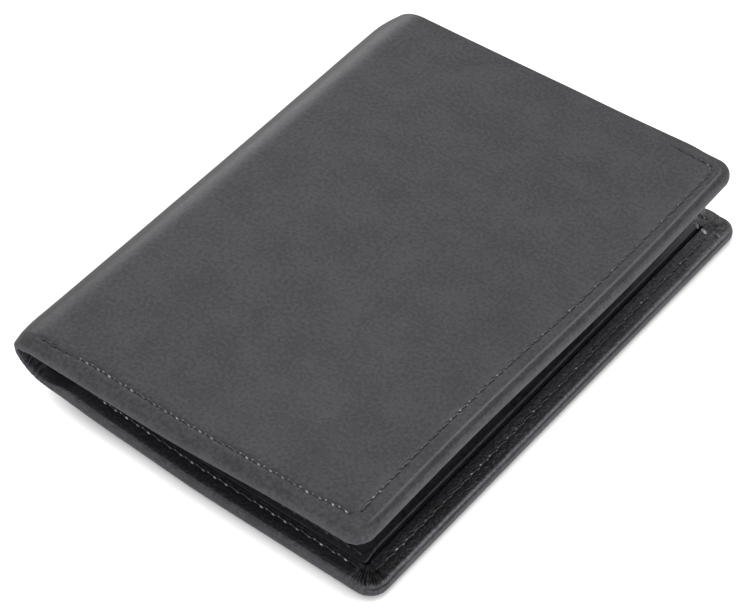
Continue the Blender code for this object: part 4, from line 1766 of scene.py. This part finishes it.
@dataclass
class CardSlots:
    """Three stepped card slots on the front panel, with mouths towards the spine."""

    count: int = 3
    first: float = 20.0 * MM
    step: float = 11.0 * MM
    end: float = 82.0 * MM
    low: float = 17.2 * MM
    high: float = 107.2 * MM
    thumb_width: float = 30.0 * MM
    thumb_depth: float = 4.0 * MM
    thumb_fade: float = 12.0 * MM
    mouth_fold: float = 3.0 * MM
    press: float = 0.07 * MM
    press_width: float = 0.35 * MM
    seam_side: float = 1.4 * MM
    seam_start: float = 1.2 * MM
    seam_stop: float = 1.0 * MM
    sunk: float = 0.02 * MM

    def notch(self, mouth: float) -> Callable:
        """Draws the last mouth back in a thumb notch.

        Args:
            mouth: flat x of the mouth.

        Returns:
            A function that draws flat places x and y.
        """
        middle = (self.low + self.high) / 2

        def warp(x: Array, y: Array) -> tuple[Array, Array]:
            """Flat places x and y of the notched slot.

            Args:
                x: distances from the spine side.
                y: distances from the near edge.

            Returns:
                Two arrays of flat places x and y.
            """
            share = np.clip(np.abs(y - middle) / (self.thumb_width / 2), 0, 1)
            fade = 1 - smooth((x - mouth) / self.thumb_fade)
            return x + self.thumb_depth * (1 - smooth(share)) * fade, y

        return warp

    def mouth_line(self, mouth: float) -> Callable:
        """Pressed line beside the folded mouth."""
        return lambda x, y: self.press * bell((x - mouth - self.mouth_fold) / self.press_width)

    def build(self, leather: bpy.types.Material, thread: bpy.types.Material) -> None:
        """Makes the slots and their side seams.

        Args:
            leather: finish of the leather.
            thread: finish of the thread.
        """
        mesh = Mesh()
        stitches = Stitches(Half.FRONT, thread=0.15 * MM)
        for number in range(self.count):
            mouth = self.first + number * self.step
            top = LAYERS.slot_top + number * LAYERS.slot_rise
            last = number == self.count - 1
            low, high = (mouth, self.low), (self.end, self.high)
            sheet = Sheet(f"card_slot_leather_{number + 1}", Half.FRONT, low, high,
                          top, LAYERS.slot_leather, radius=2.5 * MM, rim=0.22 * MM, step=1.5 * MM,
                          warp=self.notch(mouth) if last else None, relief=self.mouth_line(mouth))
            slot = sheet.build(leather)
            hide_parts(f"card_slot_{number + 1}")
            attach(slot, "front_half")
            stop = self.end if last else mouth + self.step
            level = top + LAYERS.slot_leather - self.sunk
            for y in (self.low + self.seam_side, self.high - self.seam_side):
                line = [(mouth + self.seam_start, y), (stop - self.seam_stop, y)]
                stitches.row(mesh, line, even(level), Face.INNER, FINE_PITCH)
        row = mesh.make("card_slot_stitches", thread)
        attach(row, "front_half")


@dataclass
class CoinPocket:
    """Coin pocket of the back half: folded gusset, front wall, and the flap with its sewn strip."""

    left: float = 29.5 * MM
    right: float = 82.5 * MM
    low: float = 9.0 * MM
    mouth: float = 66.0 * MM
    radius: float = 5.0 * MM
    scoop_width: float = 40.0 * MM
    scoop_depth: float = 3.0 * MM
    scoop_start: float = 20.0 * MM
    gusset_wall: float = 0.22 * MM
    gusset_fold: float = 1.1 * MM
    gusset_inset: float = 0.35 * MM
    gusset_short: float = 2.0 * MM
    gusset_step: float = 2.0 * MM
    gusset_knee: float = 0.6
    gusset_bend: float = 0.12
    gusset_ridge: float = 1.6
    gusset_sharp: float = 40.0
    flap_tip: float = 38.0 * MM
    flap_root: float = 76.0 * MM
    flap_slope: float = 8.5 * MM
    flap_round: float = 13.0 * MM
    strip: float = 8.0 * MM
    strip_gap: float = 0.4 * MM
    stud: tuple[float, float] = (56.0 * MM, 48.0 * MM)
    wall_hole: float = 1.5 * MM
    flap_hole: float = 3.9 * MM
    seam_inset: float = 1.5 * MM
    strip_seam: float = 6.4 * MM
    border: float = 2.0 * MM
    press: float = 0.09 * MM
    press_width: float = 0.5 * MM
    wall_sunk: float = 0.06 * MM
    flap_sunk: float = 0.03 * MM

    def scooped(self, x: Array, y: Array) -> tuple[Array, Array]:
        """Scoops the mouth of the front wall.

        Args:
            x: distances from the spine side.
            y: distances from the near edge.

        Returns:
            Two arrays of flat places x and y.
        """
        share = np.clip(np.abs(x - self.stud[0]) / (self.scoop_width / 2), 0, 1)
        depth = self.scoop_depth * np.sqrt(np.clip(1 - share * share, 0, 1))
        start = self.low + self.scoop_start
        return x, y - depth * smooth((y - start) / (self.mouth - start))

    def swell(self, x: Array, y: Array) -> Array:
        """Soft bulge of the wall and its pressed seam line."""
        line = np.minimum(np.minimum(x - self.left, self.right - x), y - self.low)
        return self.press * bell((line - self.seam_inset) / self.press_width)

    def climb(self, x: Array, y: Array) -> Array:
        """Climb of the flap from its sewn strip up over the mouth of the pocket."""
        return (LAYERS.flap_top - LAYERS.coin_top) * smooth((self.flap_root - y) / self.flap_slope)

    def gusset(self) -> Mesh:
        """Cloth gusset, one inward fold swept round three sides of the pocket.

        Returns:
            The gathered mesh.
        """
        inset = self.gusset_inset
        r = self.radius - inset
        x0, x1, y0 = self.left + inset, self.right - inset, self.low + inset
        turn = np.linspace(0, math.pi / 2, 10)
        down = steps(y0 + r, self.mouth - self.gusset_short, self.gusset_step)[::-1]
        across = steps(x0 + r, x1 - r, self.gusset_step)[1:-1]
        cos, sin = np.cos(turn), np.sin(turn)
        stretches = (
            (x0, down, 1.0, 0.0),
            (x0 + r - r * cos[1:], y0 + r - r * sin[1:], cos[1:], sin[1:]),
            (across, y0, 0.0, 1.0),
            (x1 - r + r * sin[:-1], y0 + r - r * cos[:-1], -sin[:-1], cos[:-1]),
            (x1, down[::-1], -1.0, 0.0),
        )
        path = [np.stack(np.broadcast_arrays(*part)) for part in stretches]
        px, py, nx, ny = np.concatenate(path, axis=1)
        t, h, f = self.gusset_wall, LAYERS.coin_room, self.gusset_fold
        knee, low, high = self.gusset_knee * f, self.gusset_bend * h, (1 - self.gusset_bend) * h
        ridge = f - self.gusset_ridge * t
        outside = [(0, 0), (knee, low), (f, h / 2), (knee, high), (0, h)]
        inside = [(-t, h), (knee - t, high - t), (ridge, h / 2), (knee - t, low + t), (-t, 0)]
        section = np.array([(a + t, b) for a, b in outside + inside])
        x = px[None, :] + section[:, :1] * nx[None, :]
        y = py[None, :] + section[:, :1] * ny[None, :]
        w = LAYERS.coin_top + np.broadcast_to(section[:, 1:], x.shape)
        points = FOLD.place(Half.BACK, x, y, w)
        mesh = Mesh()
        mesh.grid(points.transpose(1, 0, 2), np.stack([x, y, w], axis=-1).transpose(1, 0, 2), closed=True)
        return mesh

    def build(
        self, leather: bpy.types.Material, cloth: bpy.types.Material, thread: bpy.types.Material,
    ) -> None:
        """Makes the pocket, the flap and their seams.

        Args:
            leather: finish of the leather.
            cloth: finish of the cloth.
            thread: finish of the thread.
        """
        gusset = self.gusset().make("coin_gusset_cloth", cloth, self.gusset_sharp)
        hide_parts("coin_pocket_gusset")
        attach(gusset, "back_half")
        wall = Sheet("coin_wall_leather", Half.BACK, (self.left, self.low), (self.right, self.mouth),
                     LAYERS.wall_top, LAYERS.wall, radius=self.radius, rim=0.3 * MM, step=1.4 * MM,
                     warp=self.scooped, relief=self.swell).build(leather)
        cut_round(wall, self.stud, self.wall_hole)
        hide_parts("coin_pocket_front")
        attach(wall, "back_half")
        root = self.flap_root + self.strip_gap
        strip = Sheet("flap_strip_leather", Half.BACK, (self.left, root), (self.right, root + self.strip),
                      LAYERS.coin_top, LAYERS.leather, radius=1.5 * MM, rim=0.3 * MM, step=1.5 * MM)
        band = strip.build(leather)
        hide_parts("coin_flap_strip")
        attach(band, "back_half")
        self.build_flap(leather, thread)
        self.build_seams(thread)

    def build_flap(self, leather: bpy.types.Material, thread: bpy.types.Material) -> None:
        """Makes the flap with its stitched border.

        Args:
            leather: finish of the leather.
            thread: finish of the thread.
        """
        flap = Sheet("coin_flap_cover", Half.BACK, (self.left, self.flap_tip), (self.right, self.flap_root),
                     LAYERS.coin_top, LAYERS.leather, radius=1.2 * MM, rim=0.32 * MM, step=1.2 * MM,
                     warp=self.tongue, shift=self.climb).build(leather)
        cut_round(flap, self.stud, self.flap_hole)
        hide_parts("coin_flap_leather")
        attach(flap, "coin_flap")
        mesh = Mesh()
        stitches = Stitches(Half.BACK, thread=FINE_THREAD)
        root = self.flap_root - self.seam_inset
        line = self.seam_line(self.flap_tip, root, self.flap_round, self.border, 12)
        top = LAYERS.coin_top + LAYERS.leather - self.flap_sunk
        stitches.row(mesh, line, lambda x, y: top + self.climb(x, y), Face.INNER, FINE_PITCH)
        row = mesh.make("coin_flap_stitches", thread)
        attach(row, "coin_flap")

    def tongue(self, x: Array, y: Array) -> tuple[Array, Array]:
        """Rounds the two corners of the flap's tip by drawing its sides in.

        Args:
            x: distances from the spine side.
            y: distances from the near edge.

        Returns:
            Two arrays of flat places x and y.
        """
        mid = (self.left + self.right) / 2
        half_width = (self.right - self.left) / 2
        near = np.clip((self.flap_tip + self.flap_round - y) / self.flap_round, 0, 1)
        narrow = half_width - self.flap_round * (1 - np.sqrt(np.clip(1 - near * near, 0, 1)))
        return mid + (x - mid) * narrow / half_width, y

    def seam_line(
        self, low: float, top: float, radius: float, inset: float, count: int,
    ) -> list[tuple[float, float]]:
        """Flat line of a seam down one side, round two corners and up the other.

        Args:
            low: flat y of the edge that it follows.
            top: flat y of its two ends.
            radius: radius of the edge's corners.
            inset: its distance in from the edge.
            count: places on each corner.

        Returns:
            The line's corners.
        """
        r = radius - inset
        x0, x1, y0 = self.left + radius, self.right - radius, low + radius
        turn = np.linspace(0, math.pi / 2, count)
        line = [(self.left + inset, top)]
        line += [(x0 - r * math.cos(a), y0 - r * math.sin(a)) for a in turn]
        line += [(x1 + r * math.sin(a), y0 - r * math.cos(a)) for a in turn]
        line.append((self.right - inset, top))
        return line

    def build_seams(self, thread: bpy.types.Material) -> None:
        """Makes the seam round the pocket's wall and the two rows that hold the flap's strip.

        Args:
            thread: finish of the thread.
        """
        mesh = Mesh()
        stitches = Stitches(Half.BACK, thread=FINE_THREAD)
        inset = self.seam_inset
        line = self.seam_line(self.low, self.mouth - inset, self.radius, inset, 8)
        level = LAYERS.wall_top + LAYERS.wall - self.wall_sunk
        stitches.row(mesh, line, even(level), Face.INNER, FINE_PITCH)
        top = LAYERS.coin_top + LAYERS.leather - self.flap_sunk
        root = self.flap_root + self.strip_gap
        for y in (root + inset, root + self.strip_seam):
            row = [(self.left + inset, y), (self.right - inset, y)]
            stitches.row(mesh, row, even(top), Face.INNER, FINE_PITCH)
        seam = mesh.make("coin_pocket_stitches", thread)
        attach(seam, "back_half")


@dataclass(frozen=True)
class PressStud:
    """The press stud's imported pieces, which keep their shape and take their finish here."""

    post: str = "stud_post"
    socket: str = "stud_socket"
    cap: str = "stud_cap"

    def build(self, plain: bpy.types.Material, dark: bpy.types.Material) -> None:
        """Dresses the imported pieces.

        Args:
            plain: finish of the post and the socket.
            dark: finish of the cap.
        """
        for name, material in ((self.post, plain), (self.socket, plain), (self.cap, dark)):
            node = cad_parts[name]
            node.data.materials.clear()
            node.data.materials.append(material)
            log.info("%s dressed", name)


@dataclass
class Cover:
    """The whole leather strip with its edge seams."""

    def halves(self) -> dict[Half, TurnedHalf]:
        """Measures of the two halves.

        Returns:
            The measures of each half.
        """
        back = TurnedHalf(
            Half.BACK,
            near=Edge(outer=1.0 * MM, inner=0.8 * MM, crown=0.4, hem=4.6 * MM),
            opening=Edge(
                outer=1.0 * MM, inner=0.6 * MM, crown=0.4, hem=5.4 * MM, rim=0.16 * MM, slit=0.6 * MM
            ),
            far=Edge(outer=0.9 * MM, inner=0.8 * MM, crown=0.45, hem=5.8 * MM),
            inset_knots=((0, 3.6 * MM), (1, 3.4 * MM), (1.1, 3.2 * MM), (2, 3.2 * MM), (3, 3.0 * MM)),
            far_pull=0.9 * MM,
            pull_start=80.0 * MM,
            pull_run=9.0 * MM,
            push=0.28 * MM,
            far_radius=3.0 * MM,
        )
        front = TurnedHalf(
            Half.FRONT,
            near=Edge(outer=0.6 * MM, inner=0.7 * MM, crown=0.62, hem=4.6 * MM, fall=0.6 * MM),
            opening=Edge(outer=0.55 * MM, inner=0.8 * MM, crown=0.6, hem=5.4 * MM, crest=0.25 * MM),
            far=Edge(outer=1.2 * MM, inner=0.8 * MM, crown=0.5, hem=5.8 * MM),
            inset_knots=(
                (0, 2.7 * MM), (0.19, 3.1 * MM), (0.27, 3.8 * MM), (0.9, 3.5 * MM), (1.0, 4.2 * MM),
                (1.05, 4.7 * MM), (1.35, 4.6 * MM), (1.6, 4.0 * MM), (1.8, 3.8 * MM), (2.0, 3.4 * MM),
                (2.1, 2.9 * MM), (3.0, 2.9 * MM),
            ),
            far_pull=0.35 * MM,
            turn_start=-2.5 * MM,
            turn_end=3.0 * MM,
            pleats=7,
            gather_start=0.5,
        )
        return {Half.BACK: back, Half.FRONT: front}

    def build(
        self, leather: bpy.types.Material, thread: bpy.types.Material, hole: bpy.types.Material,
    ) -> None:
        """Makes both halves and the stitches on their two faces.

        Args:
            leather: finish of the leather.
            thread: finish of the thread.
            hole: finish of the needle holes.
        """
        for half, turned in self.halves().items():
            piece = turned.build(leather)
            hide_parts(f"{half.value}_cover_leather", "spine_leather")
            bend_with_spine(piece, half)
            seam = EdgeSeam(turned, Stitches(half))
            for face in Face:
                for row in (seam.build(face, thread), seam.build_holes(face, hole)):
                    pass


@dataclass(frozen=True)
class Studio:
    """Pale floor, soft lights and the camera at the photograph's viewing angle."""

    camera_place: tuple[float, float, float] = (209.06 * MM, -268.42 * MM, 346.67 * MM)
    camera_aim: tuple[float, float, float] = (2.51 * MM, -5.55 * MM, 5.0 * MM)
    lens: float = 113.35
    sensor: float = 36.0
    floor_size: float = 12.0
    floor_drop: float = 0.05 * MM
    ambient: float = 0.30
    floor_colour: tuple[float, float, float, float] = (0.84, 0.82, 0.79, 1.0)
    contact: float = 3.0 * MM
    contact_power: float = 2.3
    floor_glow: float = 0.74
    clip: float = 0.01

    def floor(self) -> None:
        """Pale floor that shows white to the camera and keeps the object's shadow; near the object its glow
        to the camera is dimmed by ambient occlusion, a painted contact shadow.
        """
        bm = bmesh.new()
        bmesh.ops.create_grid(bm, x_segments=1, y_segments=1, size=self.floor_size / 2)
        mesh = bpy.data.meshes.new("floor")
        bm.to_mesh(mesh)
        bm.free()
        plane = bpy.data.objects.new("floor", mesh)
        plane.location = (0, 0, -self.floor_drop)
        bpy.context.scene.collection.objects.link(plane)
        n = Nodes("pale_floor")
        rays = n.add("LightPath")
        matt = n.add("BsdfDiffuse", Color=self.floor_colour)
        # Painted contact shadow: the camera's glow is dimmed by ambient occlusion near the object.
        near = n.add("AmbientOcclusion", Distance=self.contact)
        painted_contact_shadow = n.add("Math", {"operation": "POWER"}, _0=near.outputs["AO"], _1=self.contact_power)
        lift = n.add("Math", {"operation": "MULTIPLY"}, _0=painted_contact_shadow.outputs[0], _1=self.floor_glow)
        glow = n.add("Emission", Color=(1.0, 1.0, 1.0, 1.0), Strength=lift.outputs[0])
        lifted = n.add("AddShader", _0=matt.outputs[0], _1=glow.outputs[0])
        seen = rays.outputs["Is Camera Ray"]
        pick = n.add("MixShader", _0=seen, _1=matt.outputs[0], _2=lifted.outputs[0])
        mesh.materials.append(n.finish(pick.outputs[0]))

    def world(self) -> None:
        """Even surroundings, white to the camera and in reflections."""
        world = bpy.data.worlds.new("studio")
        bpy.context.scene.world = world
        world.use_nodes = True
        tree = world.node_tree
        tree.nodes.clear()
        kinds = ("OutputWorld", "LightPath", "Math", "Math", "Background", "Background", "MixShader")
        made = [tree.nodes.new(f"ShaderNode{kind}") for kind in kinds]
        output, rays, seen, shown, soft, white, pick = made
        seen.operation = shown.operation = "MAXIMUM"
        soft.inputs["Strength"].default_value = self.ambient
        for background in (soft, white):
            background.inputs["Color"].default_value = (1.0, 1.0, 1.0, 1.0)
        for start, end in (
            (rays.outputs["Is Camera Ray"], seen.inputs[0]),
            (rays.outputs["Is Glossy Ray"], seen.inputs[1]),
            (seen.outputs[0], shown.inputs[0]),
            (rays.outputs["Is Transmission Ray"], shown.inputs[1]),
            (shown.outputs[0], pick.inputs[0]),
            (soft.outputs[0], pick.inputs[1]),
            (white.outputs[0], pick.inputs[2]),
            (pick.outputs[0], output.inputs["Surface"]),
        ):
            tree.links.new(start, end)

    def lamp(
        self, name: str, place: Sequence[float], size: float, power: float, tint: Sequence[float],
        mirrored: bool = True,
    ) -> None:
        """Adds a square soft lamp that faces the wallet.

        Args:
            name: its name.
            place: its centre, in metres.
            size: its side, in metres.
            power: its power, in watts.
            tint: its colour.
            mirrored: whether gloss mirrors it. The low front lamp isn't mirrored, or the cover would
                clip to white from the side.
        """
        light = bpy.data.lights.new(name, "AREA")
        light.size = size
        light.energy = power
        light.color = tint
        holder = bpy.data.objects.new(name, light)
        holder.location = place
        holder.rotation_euler = (-Vector(place)).to_track_quat("-Z", "Y").to_euler()
        holder.visible_glossy = mirrored
        bpy.context.scene.collection.objects.link(holder)

    def camera(self) -> None:
        """Camera at the photograph's viewing angle."""
        data = bpy.data.cameras.new("camera")
        data.lens = self.lens
        data.sensor_width = self.sensor
        data.clip_start = self.clip
        holder = bpy.data.objects.new("camera", data)
        place, aim = Vector(self.camera_place), Vector(self.camera_aim)
        holder.location = place
        holder.rotation_euler = (aim - place).to_track_quat("-Z", "Y").to_euler()
        bpy.context.scene.collection.objects.link(holder)
        bpy.context.scene.camera = holder

    def build(self) -> None:
        """Sets up the studio."""
        self.camera()
        self.floor()
        self.world()
        self.lamp("lamp_top", (0.0, 0.45, 1.05), 0.5, 4.7, (1.0, 0.99, 0.962))
        self.lamp("lamp_back_left", (-0.78, 0.52, 0.36), 0.35, 2.4, (0.98, 0.97, 1.0))
        self.lamp("lamp_front", (1.03, -0.91, 0.30), 0.9, 36.5, (0.92, 0.935, 1.0), mirrored=False)
        view = bpy.context.scene.view_settings
        view.view_transform = "Standard"


def main() -> None:
    """Builds the wallet in order and reports each piece."""
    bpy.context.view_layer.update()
    Studio().build()
    outer = LeatherFinish(
        "charcoal_nappa", (0.0302, 0.0296, 0.032), (0.0532, 0.0522, 0.056),
        roughness=0.38, gloss=0.2, sheen=0.05,
    ).material()
    inner = LeatherFinish(
        "black_calf", (0.011, 0.011, 0.013), (0.024, 0.024, 0.028), roughness=0.42, gloss=0.4, sheen=0.0,
        grain_depth=0.03 * MM, wrinkle_depth=0.1 * MM, turned_shade=1.0, turned_gloss=0.0,
    ).material()
    cloth = ClothFinish("black_lining", (0.006, 0.006, 0.007), (0.022, 0.022, 0.025)).material()
    thread = ThreadFinish("charcoal_thread", (0.014, 0.014, 0.017), (0.3, 0.305, 0.325)).material()
    fine = ThreadFinish("black_thread", (0.012, 0.012, 0.014), (0.07, 0.07, 0.08)).material()
    plain = MetalFinish("nickel", (0.55, 0.55, 0.56), 0.3).material()
    dark = MetalFinish("dark_nickel", (0.22, 0.22, 0.24), 0.26).material()
    # Near-black finish of the needle holes: painted shade in the holes.
    hole = ClothFinish("needle_hole", (0.002, 0.002, 0.002), (0.005, 0.005, 0.005)).material()
    Cover().build(outer, thread, hole)
    NoteCompartment().build(cloth)
    for half in Half:
        InnerPanels().build(half, inner, fine)
    CardSlots().build(inner, fine)
    CoinPocket().build(inner, cloth, fine)
    PressStud().build(plain, dark)


if __name__ == "__main__":
    logging.basicConfig(level=logging.INFO, format="%(message)s")
    main()
